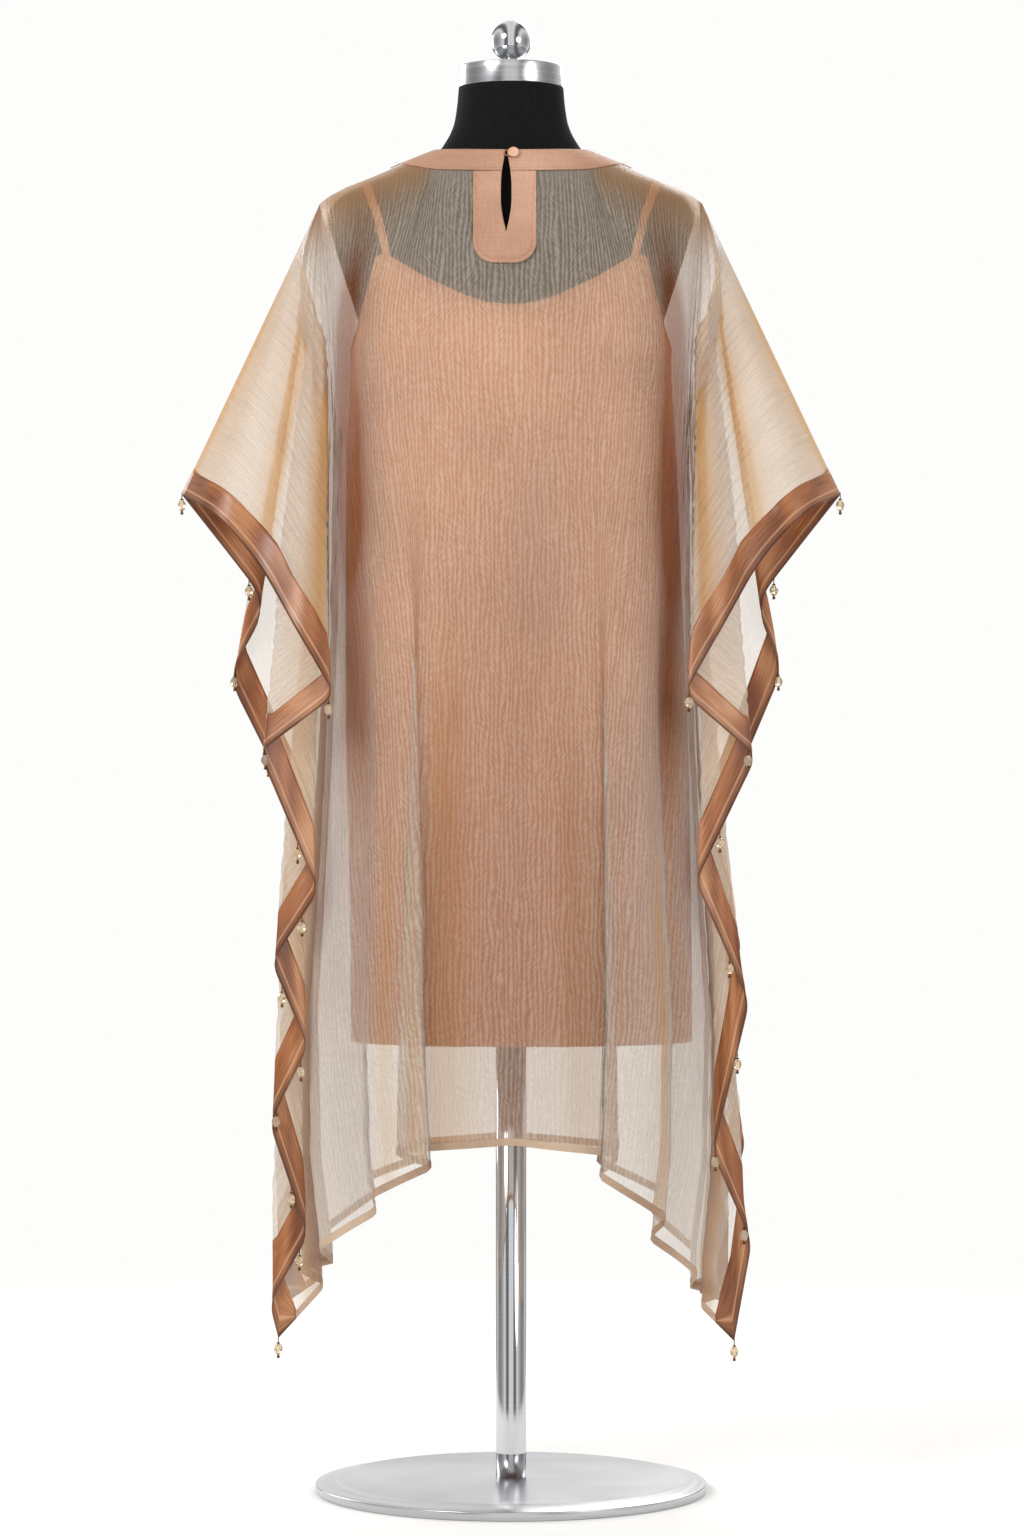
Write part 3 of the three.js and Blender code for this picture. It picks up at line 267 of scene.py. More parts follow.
satin = {
    # from painted shade to painted highlight
    "colours": [(0.0, "#713c1d"), (0.5, "#a46336"), (1.0, "#cf9467")],
    "float": 1.8,  # mm, two floats, drawn coarser than the real 0.2 mm so that they show
    "floatShare": 0.35,  # of the tone, the rest is soft patches
    "range": (0.36, 0.64),
    "paintedShine": ("#e6b892", 0.45),
    "line": (0.68, 0.74, 0.80),  # where across the border its painted highlight line lies
    # across the border: lightest at the painted highlight line, darker towards the corded edge and darkest on
    # it
    "shades": [
        (0.0, "#ffffff"), (0.68, "#f2f2f2"), (0.74, "#ffffff"), (0.80, "#e4e4e4"), (0.905, "#dadada"),
        (0.935, "#9a8f88"), (1.0, "#b5aaa2"),
    ],
}


def satinMaterial():
    # copper polyester satin, cut on the straight grain and pressed double: its colour runs from painted shade
    # to painted highlight over long floats and soft patches, a soft stretched shine across the strip, with a
    # painted highlight line along its pressed fold and a darker corded edge
    material, tree, along = newMaterial("copper_polyester_satin", "flat")
    floats = noise(tree, along, (14.0, 1 / (satin["float"] * mm), 1), 2.0, 2.0)
    patches = noise(tree, along, (1, 1, 1), 1.0, 16.0)
    tone = mixed(tree, satin["floatShare"], patches, floats)
    colour = ramp(tree, spread(tree, tone, *satin["range"]), satin["colours"])
    place = math(tree, "MULTIPLY", node(tree, "SeparateXYZ", {0: along})["Y"], 1 / (border["width"] * mm))
    dyed = blend(tree, 1.0, colour, ramp(tree, place, satin["shades"]), "MULTIPLY")
    low, middle, high = satin["line"]
    line = math(tree, "MINIMUM", spread(tree, place, low, middle), spread(tree, place, high, middle))
    # a painted highlight line along the strip
    bright, strength = satin["paintedShine"]
    paintedShine = blend(tree, math(tree, "MULTIPLY", line, strength), dyed, linear(bright))
    cloth = node(tree, "BsdfPrincipled", {
        "Base Color": paintedShine, "Roughness": 0.32, "Normal": bumped(tree, tone, 0.6, 0.9),
        "Specular IOR Level": 0.6, "Sheen Weight": 0.25, "Sheen Roughness": 0.3,
        "Sheen Tint": linear("#f2cdb0"), "Anisotropic": 0.5,
    })[0]
    return finish(material, tree, cloth)


def plainClothMaterial(name, colours, weave, roughness, cover=1.0, glow=0.0, slub=0.3, crush=0.0, low=None):
    # plain-woven lining cloth: an even fine grain with slightly thicker yarns here and there; crush adds
    # the soft creases, in millimetres, that it takes from the crinkled cloth sewn to it; low is a painted
    # shade, a colour that it darkens to from one height down to another, where less light reaches it
    material, tree, place = newMaterial(name)
    yarn, loose = 1 / (weave * mm), 40.0
    warp = noise(tree, place, (yarn, yarn, loose))
    weft = noise(tree, place, (loose, loose, yarn))
    grain = mixed(tree, 0.5, warp, weft)
    tone = mixed(tree, slub, noise(tree, place, (1, 1, 1), 3.0, 9.0), grain)
    colour = ramp(tree, spread(tree, tone, 0.35, 0.65), list(zip((0.0, 0.5, 1.0), colours)))
    if low:
        # painted shade: darker towards the hem
        shadeColour, fromUp, toUp = low
        up = node(tree, "SeparateXYZ", {0: place})["Z"]
        colour = blend(tree, spread(tree, up, fromUp, toUp), colour, linear(shadeColour))
    bump = bumped(tree, grain, 0.35, 0.4)
    if crush:
        bump = bumped(tree, noise(tree, place, (260.0, 260.0, 120.0)), 0.8, crush, Normal=bump)
    shader = node(tree, "BsdfPrincipled", {
        "Base Color": colour, "Roughness": roughness, "Normal": bump, "Alpha": cover, "Sheen Weight": 0.2,
        "Sheen Roughness": 0.4, "Sheen Tint": linear("#ffe8d8"),
    })[0]
    if glow:
        light = node(tree, "BsdfTranslucent", {"Color": colour})[0]
        shader = over(tree, glow, shader, over(tree, cover, node(tree, "BsdfTransparent", {})[0], light))
    return finish(material, tree, shader)


def jerseyMaterial():
    # black cotton jersey stretched over foam: matt, with a fine vertical rib
    material, tree, place = newMaterial("black_cotton_jersey")
    grain = noise(tree, place, (700.0, 700.0, 120.0))
    cloth = node(tree, "BsdfPrincipled", {
        "Base Color": ramp(tree, grain, [(0.3, "#070707"), (0.7, "#121212")]), "Roughness": 0.92,
        "Normal": bumped(tree, grain, 0.4, 0.4), "Specular IOR Level": 0.25, "Sheen Weight": 0.1,
        "Sheen Roughness": 0.5, "Sheen Tint": linear("#555555"),
    })[0]
    return finish(material, tree, cloth)


def metalMaterial(name, colours, roughness, brush=0.0):
    # plated or polished metal; a brushed one carries fine rings round the upright axis
    material, tree, place = newMaterial(name)
    lines = noise(tree, place, (8.0, 8.0, 900.0))
    metal = node(tree, "BsdfPrincipled", {
        "Base Color": ramp(tree, lines, list(zip((0.3, 0.7), colours))), "Metallic": 1.0,
        "Roughness": spread(tree, lines, 0.0, 1.0, roughness * 0.85, roughness * 1.15),
        "Normal": bumped(tree, lines, brush, 0.15),
    })[0]
    return finish(material, tree, metal)


def crystalMaterial():
    # pressed champagne glass, faceted: it lets light through and glints at its edges
    material, tree, place = newMaterial("pressed_champagne_glass")
    cloud = noise(tree, place, (1, 1, 1), 1.0, 160.0)
    glass = node(tree, "BsdfPrincipled", {
        "Base Color": ramp(tree, cloud, [(0.3, "#ecd3a6"), (0.7, "#fbefda")]), "Roughness": 0.06,
        "IOR": 1.5, "Transmission Weight": 0.7, "Coat Weight": 0.3,
    })[0]
    return finish(material, tree, glass)


hemColours = ["#b08c6c", "#ccae92", "#e2cab0"]
facingColours = ["#ad8065", "#c4967b", "#d6aa90"]
slipColours = ["#cf8756", "#dd9763", "#e8a876"]
# painted shade: the slip darkens to this colour from 1.2 m down to 0.5 m
slipPaintedShade = ("#b96d36", 1.2, 0.5)
materials = {
    "organza": organzaMaterial(),
    "satin": satinMaterial(),
    "hem": plainClothMaterial("turned_organza_hem", hemColours, 0.7, 0.5, 0.82, 0.3, crush=0.8),
    "facing": plainClothMaterial("peach_lining_facing", facingColours, 0.8, 0.6, crush=2.4),
    "slip": plainClothMaterial("peach_satin_lining", slipColours, 1.0, 0.45, slub=0.2, low=slipPaintedShade),
    "thread": plainClothMaterial("peach_sewing_thread", ["#b98460", "#c8936e", "#d9a684"], 0.5, 0.6),
    "jersey": jerseyMaterial(),
    "chrome": metalMaterial("polished_chrome", ["#c9cacc", "#d6d7d9"], 0.07),
    "brushed": metalMaterial("brushed_steel", ["#b9babc", "#cfd0d2"], 0.24, 0.25),
    "wire": metalMaterial("copper_bead_wire", ["#5d4027", "#8a6238"], 0.3),
    "ring": metalMaterial("pale_gold_ring", ["#c7a273", "#d9b88c"], 0.3),
    "crystal": crystalMaterial(),
    "buttonShell": plainClothMaterial("dyed_shell_button", ["#d39c79", "#e3b190", "#efc6a9"], 1.5, 0.3),
}
print("materials made")


# Meshes

def cells(grid, wrap=False):
    # one quad for each cell of a grid of points, or of many; wrap joins its last column to the first
    index = np.arange(grid[..., 0].size).reshape(grid.shape[:-1])
    if wrap:
        index = np.concatenate([index, index[..., :1]], axis=-1)
    a, b, c, d = index[..., :-1, :-1], index[..., :-1, 1:], index[..., 1:, 1:], index[..., 1:, :-1]
    return np.stack([a, b, c, d], axis=-1).reshape(-1, 4)


def circle(sides):
    # the angles of an even polygon's corners
    return np.arange(sides) * 2 * np.pi / sides


def revolve(profile, turn):
    # each (radius, height) row of a profile carried round the Z axis through these angles
    radius, up = np.array(profile, float).T[..., None]
    turn = turn[..., None, :]
    return np.stack(np.broadcast_arrays(radius * np.cos(turn), radius * np.sin(turn), up), axis=-1)


def meshFrom(name, points, quads, material, flat=None, merge=False, shadeSmooth=True, paintedLightAndCrush=None):
    # points in millimetres, quads as rows of four vertex numbers, flat as a metre for each vertex
    mesh = bpy.data.meshes.new(name)
    mesh.vertices.add(len(points))
    mesh.vertices.foreach_set("co", (points * mm).astype(np.float32).ravel())
    mesh.loops.add(quads.size)
    mesh.loops.foreach_set("vertex_index", quads.astype(np.int32).ravel())
    mesh.polygons.add(len(quads))
    mesh.polygons.foreach_set("loop_start", np.arange(0, quads.size, 4, dtype=np.int32))
    mesh.polygons.foreach_set("use_smooth", np.full(len(quads), shadeSmooth))
    mesh.update(calc_edges=True)
    if flat is not None:
        layer = mesh.uv_layers.new(name="flat")
        layer.data.foreach_set("uv", (flat[quads.ravel()] * mm).astype(np.float32).ravel())
    if paintedLightAndCrush is not None:
        colours = mesh.attributes.new("paintedLightAndCrush", "FLOAT_COLOR", "POINT")
        colours.data.foreach_set("color", paintedLightAndCrush.astype(np.float32).ravel())
    if merge:
        edit = bmesh.new()
        edit.from_mesh(mesh)
        bmesh.ops.remove_doubles(edit, verts=edit.verts, dist=1e-6)
        edit.to_mesh(mesh)
        edit.free()
    mesh.validate()
    mesh.materials.append(material)
    piece = bpy.data.objects.new(name, mesh)
    bpy.context.scene.collection.objects.link(piece)
    return piece


def gridPiece(name, grid, material, flat=None, wrap=False, flip=False, merge=False):
    # a mesh from rows and columns of points, with its quads turned over by flip
    quads = cells(grid, wrap)[:, ::-1] if flip else cells(grid, wrap)
    laid = None if flat is None else flat.reshape(-1, 2)
    return meshFrom(name, grid.reshape(-1, 3), quads, material, laid, merge)


def thicken(piece, thick):
    # half the thickness to each side of the sheet
    solid = piece.modifiers.new("cloth thickness", "SOLIDIFY")
    solid.thickness = thick * mm
    solid.offset = 0
    return piece


def belongs(piece, slot, *nodes):
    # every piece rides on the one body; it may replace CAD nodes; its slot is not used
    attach(piece, "root")
    if nodes:
        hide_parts(*nodes)
    return piece


def turned(name, profile, sides, material, slot, *nodes):
    # a profile of (radius, height) rows turned round the Z axis
    grid = revolve(profile, circle(sides))
    return belongs(gridPiece(name, grid, material, wrap=True, merge=True), slot, *nodes)


def arc(middleOut, middleUp, radius, start, end, steps):
    # points of a round edge, for a turned profile, angles in degrees from straight out
    turn = np.radians(np.linspace(start, end, steps))
    return [(middleOut + radius * c, middleUp + radius * s) for c, s in zip(np.cos(turn), np.sin(turn))]


def tube(name, path, radius, sides, material, slot, *nodes, closed=False):
    # a round section carried along a path, with its frame turned as little as possible
    path = np.array(path, float)
    along = np.gradient(path, axis=0)
    if closed:
        along = np.roll(path, -1, 0) - np.roll(path, 1, 0)
    along = unit(along)
    helper = np.where(np.abs(along[:, 2:3]) > 0.9, [[1.0, 0, 0]], [[0, 0, 1.0]])
    across = unit(np.cross(along, helper))
    lift = np.cross(along, across)
    turn = circle(sides)[None, :, None]
    grid = path[:, None] + radius * (np.cos(turn) * across[:, None] + np.sin(turn) * lift[:, None])
    if closed:
        grid = np.concatenate([grid, grid[:1]])
    else:
        first, last = (np.repeat(end[None], sides, 1) for end in (path[:1], path[-1:]))
        grid = np.concatenate([first, grid, last])
    return belongs(gridPiece(name, grid, material, wrap=True, merge=True, flip=True), slot, *nodes)


# The outer cloth

ridgeDeep = 0.8  # the front and back cloth meet this far either side of the middle plane
shoulder = np.array([200.5, ridgeDeep, 1350.5])  # the side folds fan out from here
squareness = 0.92  # 1 is an ellipse, less is squarer

drape = {
    "up": [
        150, 257, 350, 500, 600, 777, 900, 1100, 1180, 1225, 1270, 1310, 1335, 1350.5, 1358.5, 1368,
        1378, 1390, 1403, 1420,
    ],
    "half": [
        197, 197, 208, 210, 203, 192, 187, 186, 187, 190, 194, 197, 199.5, 200.5, 190, 172, 146, 118,
        85, 80,
    ],
    "back": [128, 128, 128, 127, 126, 124, 123, 121, 118, 117, 114, 107, 99, 92, 88, 83, 78, 73, 68, 66],
    "front": [137, 137, 137, 138, 139, 140, 141, 141, 139, 130, 112, 92, 79, 70, 67, 64, 62, 60, 59, 59],
}

neck = {"out": 84, "up": 1403, "backDrop": 5, "frontDrop": 78, "scoop": 1.6, "share": 0.47}
armhole = {"share": 0.25, "bulge": 52}
hem = {"width": 9, "thick": 0.9, "prefix": "turned_", "material": "hem", "slot": "hem_strip"}
panel = {"flatHalf": 540, "flatLong": 1120, "flatShoulder": 215, "flatSeam": 350}
flare = {"none": 720, "full": 580}  # side folds that end lower than this swing out near their end
meshRows = {"cloth": 190, "edge": 11, "turn": 7, "span": 7, "body": 62, "hem": 9, "flapHem": 6}
rounding = {"edge": [13, 34, 34, 26], "edgeRest": 15, "hem": 9}  # mm, how softly the folds turn, from the tip
hang = {
    "topFree": 0.2,  # the share of the length over which the neckline's shape gives way to the body's
    "pleatFrom": 0.3,
    "pleatPower": 0.8,
    "flapBow": 0.42,  # how far the unfolded side flap bows out near the shoulder
    "flapFold": (0.02, 0.3),  # where along its length the flap takes up its folds
    "seamRoom": 0.35,
}

# Each quarter's folds: down its bordered edge from the sleeve tip to the corner, along the hem to the
# side seam, and the hem's pleats from there to the middle, each as (out, deep, up).
quarters = {
    "back_left": {
        "flare": 0.6,
        "edge": [
            (345.5, 0.8, 1045), (306, 58, 1022), (262, 60, 972), (216, 104, 892), (181, 112, 832),
            (260, 88, 774), (199, 82, 630), (248, 70, 557), (211, 59, 468), (251, 49, 388),
            (212, 40, 270), (252, 32, 199), (243, 27, 163),
        ],
        "flapHem": [(194, 14, 216), (224, 9, 230)],
        "bodyHem": [
            (187, 0.8, 238), (199, 52, 257), (138, 96, 298), (147, 112, 315), (78, 139, 349),
            (126, 108, 362), (0, 127, 372),
        ],
        "beads": [0, 0.2895, 0.371, 0.47, 0.548, 0.627, 0.705, 0.76, 0.84, 0.905, 1],
    },
    "back_right": {
        "flare": 2.2,
        "edge": [
            (345.5, 0.8, 1045), (304, 60, 1024), (258, 58, 974), (211, 104, 892), (178, 112, 834),
            (253, 88, 770), (191, 80, 640), (247, 66, 515), (210, 50, 356), (251, 37, 264),
            (233, 28, 160),
        ],
        "flapHem": [(196, 15, 196), (222, 9, 204)],
        "bodyHem": [
            (188, 0.8, 212), (192, 56, 230), (144, 92, 271), (160, 108, 291), (86, 138, 341),
            (118, 110, 358), (0, 127, 372),
        ],
        "beads": [0, 0.29, 0.375, 0.465, 0.6, 0.7, 0.8, 0.88, 1],
    },
    "front_left": {
        "flare": 0.4,
        "edge": [
            (345.5, 0.8, 1045), (303, 38, 990), (257, 38, 930), (301, 74, 854), (207, 98, 664),
            (250, 86, 590), (213, 75, 500), (250, 65, 415), (213, 54, 300), (250, 43, 232),
            (239, 34, 192),
        ],
        "flapHem": [(197, 19, 222), (222, 11, 240)],
        "bodyHem": [
            (187, 0.8, 238), (200, 58, 262), (146, 106, 300), (156, 122, 312), (84, 149, 338),
            (122, 118, 350), (0, 139, 358),
        ],
        "beads": [0.125, 0.24, 0.345, 0.44, 0.53, 0.62, 0.71, 0.8, 0.9, 1],
    },
    "front_right": {
        "flare": 2.5,
        "edge": [
            (345.5, 0.8, 1045), (300, 38, 986), (257, 39, 930), (290, 72, 864), (205, 97, 660),
            (247, 84, 570), (211, 70, 455), (250, 56, 360), (212, 44, 258), (234, 34, 190),
        ],
        "flapHem": [(195, 18, 206), (220, 10, 214)],
        "bodyHem": [
            (188, 0.8, 212), (197, 60, 240), (148, 104, 284), (160, 120, 298), (88, 148, 334),
            (124, 118, 348), (0, 139, 358),
        ],
        "beads": [0.125, 0.24, 0.345, 0.45, 0.55, 0.65, 0.76, 0.88, 1],
    },
}


def standAt(rows, side, out, up):
    # how far a rounded section stands from the middle plane
    rest = np.maximum(0, 1 - np.minimum(1, np.abs(out) / at(rows, "half", up)) ** (2 / squareness))
    return at(rows, side, up) * rest ** (squareness / 2)


def roundedChain(turns, radius, perTurn, perSpan):
    # straight spans joined at each turn by a parabola; span counts 0, 1, 2... along them, for blending
    turns = np.array(turns, float)
    radius = np.broadcast_to(radius, len(turns)) if np.ndim(radius) == 0 else np.array(radius, float)
    points, span = [turns[:1]], [[0.0]]
    start = turns[0]
    for k in range(1, len(turns) - 1):
        before, after = turns[k - 1] - turns[k], turns[k + 1] - turns[k]
        enter = turns[k] + before * min(0.45, radius[k] / np.linalg.norm(before))
        leave = turns[k] + after * min(0.45, radius[k] / np.linalg.norm(after))
        s = np.linspace(0, 1, perSpan + 1)[1:-1, None]
        points.append(mix(start, enter, s))
        span.append(np.full(len(s), k - 1.0))
        s = np.linspace(0, 1, perTurn)[:, None]
        points.append((1 - s) ** 2 * enter + 2 * s * (1 - s) * turns[k] + s**2 * leave)
        span.append(k - 1 + s[:, 0])
        start = leave
    s = np.linspace(0, 1, perSpan + 1)[1:, None]
    points.append(mix(start, turns[-1], s))
    span.append(np.full(len(s), len(turns) - 2.0))
    return np.concatenate(points), np.concatenate(span)


def runAlong(points):
    # the length along a chain up to each of its points
    return np.concatenate([[0], np.cumsum(np.linalg.norm(np.diff(points, axis=0), axis=1))])


def flareTo(bottom, amount):
    # how much a side fold that ends at this point swings out near its end, as a power of its length
    swing = 1 + amount * smooth(flare["none"], flare["full"], bottom[..., 2])
    return np.where(bottom[..., 0] > shoulder[0], swing, 1)


def endDirection(bottom, amount):
    # the way a side fold runs at its end: its ray, swung out by its flare
    ray = bottom - shoulder
    ray[..., 0] *= flareTo(bottom, amount)
    return ray


def quarterColumns(quarter):
    # every column hangs from the shoulder to one point of the bottom edge; inner is the share of its
    # length where the border or hem begins
    turns = np.array(quarter["edge"], float)
    radii = rounding["edge"] + [rounding["edgeRest"]] * (len(turns) - len(rounding["edge"]))
    edge, span = roundedChain(quarter["edge"], radii, meshRows["turn"], meshRows["span"])
    along = unit(np.diff(turns, axis=0))
    rays = unit(endDirection((turns[:-1] + turns[1:]) / 2, quarter["flare"]))
    sines = np.maximum(0.3, np.linalg.norm(np.cross(along, rays), axis=1))
    reach = np.linalg.norm(endDirection(edge, quarter["flare"]), axis=1)
    edgeInner = 1 - border["width"] / (reach * np.interp(span, np.arange(len(sines)), sines))
    edgeRun = runAlong(edge)

    corner = turns[-1]
    hemShare = 1 - hem["width"] / np.linalg.norm(corner - shoulder)
    flapTurns, steps = [corner, *quarter["flapHem"], quarter["bodyHem"][0]], meshRows["flapHem"]
    flapHem, _ = roundedChain(flapTurns, rounding["hem"], steps, steps)
    away = np.linalg.norm(flapHem - corner, axis=1)
    shares = np.linspace(0, 1, steps)[1:]
    mitre = corner + unit(flapHem[1] - corner) * border["width"] * shares[:, None]
    rest = flapHem[(away > border["width"] + 2) | (np.arange(len(away)) > len(away) // 2)]
    hemPart = np.concatenate([mitre, rest])
    hemInner = np.concatenate([mix(edgeInner[-1], hemShare, shares), np.full(len(rest), hemShare)])

    flap = np.concatenate([edge, hemPart])
    run = runAlong(flap)
    body, _ = roundedChain(quarter["bodyHem"], rounding["hem"], meshRows["hem"], meshRows["hem"])
    bodyRun = runAlong(body)
    even = np.linspace(0, 1, meshRows["body"] + 1)[1:] * bodyRun[-1]
    body = np.stack([np.interp(even, bodyRun, body[:, k]) for k in range(3)], axis=-1)
    share = 1 - even / bodyRun[-1]

    flapCount = len(flap)
    count = flapCount + len(body)
    isBody = np.arange(count) >= flapCount
    hemRun = run[len(edge):] - run[len(edge) - 1]
    half, long, seam = panel["flatHalf"], panel["flatLong"], panel["flatSeam"]
    flatFlap = np.concatenate([
        np.stack([np.full(len(edge), half), long * edgeRun / edgeRun[-1]], axis=-1),
        np.stack([mix(half, seam, hemRun / hemRun[-1]), np.full(len(hemRun), long)], axis=-1),
    ])
    flatBody = np.stack([seam * share, np.full(len(body), long)], axis=-1)
    return {
        "bottom": np.concatenate([flap, body]),
        "inner": np.concatenate([edgeInner, hemInner, np.full(len(body), hemShare)]),
        "fan": np.concatenate([run / run[-1], np.ones(len(body))]),
        "share": np.concatenate([np.ones(flapCount), share]),
        "isBody": isBody,
        "borderCount": len(edge) + len(mitre),
        "edgeCount": len(edge),
        "edgeRun": edgeRun,
        "flatTop": np.concatenate([np.full(flapCount, panel["flatShoulder"]), panel["flatShoulder"] * share]),
        "flatBottom": np.concatenate([flatFlap, flatBody]),
        "flare": quarter["flare"],
        "tip": flap[0],
        "seamEnd": np.array(quarter["bodyHem"][0], float),
    }


def ridgeLine(out):
    # the height of the shoulder ridge
    rows = [(h, u) for h, u in zip(drape["half"], drape["up"]) if shoulder[2] <= u <= neck["up"]][::-1]
    return np.interp(np.abs(out), *zip(*rows))


def topEdge(side, share):
    # the neckline near the middle, the shoulder ridge further out
    turn = (1 - np.minimum(1, share / neck["share"])) * np.pi / 2
    neckOut = neck["out"] * np.cos(turn)
    neckUp = neck["up"] - neck[side + "Drop"] * np.sin(turn) ** neck["scoop"]
    ridgeOut = mix(neck["out"], shoulder[0], (share - neck["share"]) / (1 - neck["share"]))
    ridgeUp = ridgeLine(ridgeOut)
    onNeck = share <= neck["share"]
    return np.where(onNeck, neckOut, ridgeOut), np.where(onNeck, neckUp, ridgeUp)


def armholeRoom(t):
    # half a sine wave of room for the arm, over the top share of the length
    return armhole["bulge"] * np.where(t < armhole["share"], np.sin(np.pi * t / armhole["share"]), 0)


def hangBody(side, share, bottom, t):
    # down the form's back or front, then straight, with the pleats growing to the hem
    topOut, topUp = topEdge(side, share)
    up = mix(topUp, bottom[..., 2], t)
    half = at(drape, "half", up)
    spread = np.sin(share * np.pi / 2)
    out = np.minimum(half, mix(topOut, half * spread, smooth(0, hang["topFree"], t)))
    stand = standAt(drape, side, out, up)
    hemOut = at(drape, "half", bottom[..., 2]) * spread
    hemStand = standAt(drape, side, hemOut, bottom[..., 2])
    pleat = np.clip((t - hang["pleatFrom"]) / (1 - hang["pleatFrom"]), 0, 1) ** hang["pleatPower"]
    deep = stand + ridgeDeep + armholeRoom(t) * share**4 + pleat * (bottom[..., 1] - ridgeDeep - hemStand)
    return np.stack([out + pleat * (bottom[..., 0] - hemOut), np.maximum(ridgeDeep, deep), up], axis=-1)


def hangFlap(side, columns, t):
    # along the ray from the shoulder point to the edge, unfolded near the shoulder
    fan = columns["fan"]
    ray = columns["bottom"] - shoulder
    reach = np.linalg.norm(ray, axis=-1, keepdims=True)
    plain = mix(unit(columns["tip"] - shoulder), unit(columns["seamEnd"] - shoulder), fan[:, None])
    plain[:, 1] += hang["flapBow"] * fan * (1 - fan)
    plain = unit(plain) * reach
    folded = smooth(*hang["flapFold"], t)[..., None]
    points = shoulder + mix(plain, ray, folded) * t[..., None]
    points[..., 0] += ray[:, 0] * (t ** flareTo(columns["bottom"], columns["flare"]) - t)
    end = columns["seamEnd"]
    straight = mix(shoulder[0], end[0], t)
    bent = hangBody(side, np.ones_like(t), np.broadcast_to(end, t.shape + (3,)), t)[..., 0]
    points[..., 0] += (bent - straight) * fan**3
    points[..., 1] += armholeRoom(t) * smooth(0, hang["seamRoom"], fan)
    points[..., 1] = np.maximum(ridgeDeep, points[..., 1])
    return points


def quarterGrid(side, columns, sideways, facing):
    # rows run from the top down to the border or hem, and on across it
    steps = np.linspace(0, 1, meshRows["cloth"])[:, None]
    blend = np.where(columns["isBody"], np.clip((1 - columns["share"]) * 4, 0, 1), 0)
    upper = mix(steps**0.8, steps, blend) * columns["inner"]
    lower = mix(columns["inner"], 1, np.linspace(0, 1, meshRows["edge"])[1:, None])
    t = np.concatenate([upper, lower])
    bottom = np.broadcast_to(columns["bottom"], t.shape + (3,))
    share = np.broadcast_to(columns["share"], t.shape)
    body, flap = hangBody(side, share, bottom, t), hangFlap(side, columns, t)
    points = np.where(columns["isBody"][:, None], body, flap)
    flatTop = np.stack([columns["flatTop"], np.zeros_like(columns["flatTop"])], axis=-1)
    flat = mix(flatTop, columns["flatBottom"], t[..., None])
    return points * (sideways, facing, 1), flat * (sideways, 1), t


# Soft folds placed on the flat cloth, each a line from one point (across, down) to another,
# its width, and its depth, + for a ridge and - for a trough.
softFolds = {
    "back": [
        (-62, 380, -96, 1112, 17, 4.5), (-80, 420, -128, 1112, 13, -3.0), (-118, 420, -172, 1112, 20, 4.5),
        (-30, 560, -40, 1112, 22, 2.6), (-150, 240, -215, 1112, 22, -3.2), (-185, 330, -262, 1112, 24, 4.0),
        (28, 520, 46, 1112, 15, 3.2), (62, 400, 100, 1112, 18, 4.4), (84, 460, 122, 1112, 12, -3.0),
        (124, 330, 190, 1112, 21, 4.8), (158, 300, 235, 1112, 20, -3.4), (188, 380, 270, 1112, 24, 3.6),
        (5, 640, 8, 1112, 16, -2.2),
        (-222, 40, -470, 210, 16, 3.4), (-220, 60, -485, 345, 18, -3.2), (-222, 70, -440, 470, 20, 3.4),
        (-225, 40, -500, 120, 13, -2.6), (-228, 120, -400, 640, 22, -2.8),
        (222, 40, 480, 190, 17, 3.2), (220, 60, 480, 330, 18, -3.4), (222, 70, 450, 455, 19, 3.4),
        (225, 35, 505, 105, 13, -2.4), (228, 120, 405, 655, 22, -2.8),
        (-226, 200, -330, 1000, 20, 3.0), (226, 210, 330, 1010, 20, 3.0),
    ],
    "front": [
        (-70, 240, -104, 1112, 18, 4.4), (-96, 300, -140, 1112, 14, -3.2), (-128, 330, -190, 1112, 21, 4.6),
        (-20, 480, -28, 1112, 22, 2.6), (-160, 260, -226, 1112, 22, -3.2),
        (36, 460, 52, 1112, 16, 3.0), (78, 260, 112, 1112, 18, 4.4), (104, 330, 150, 1112, 13, -3.0),
        (138, 300, 205, 1112, 21, 4.8), (170, 320, 245, 1112, 20, -3.4),
        (-222, 50, -470, 260, 17, 3.2), (-220, 60, -470, 400, 18, -3.2), (-224, 90, -430, 600, 22, 3.0),
        (222, 50, 475, 240, 17, 3.2), (220, 60, 475, 390, 18, -3.2), (224, 90, 430, 590, 22, 3.0),
    ],
}

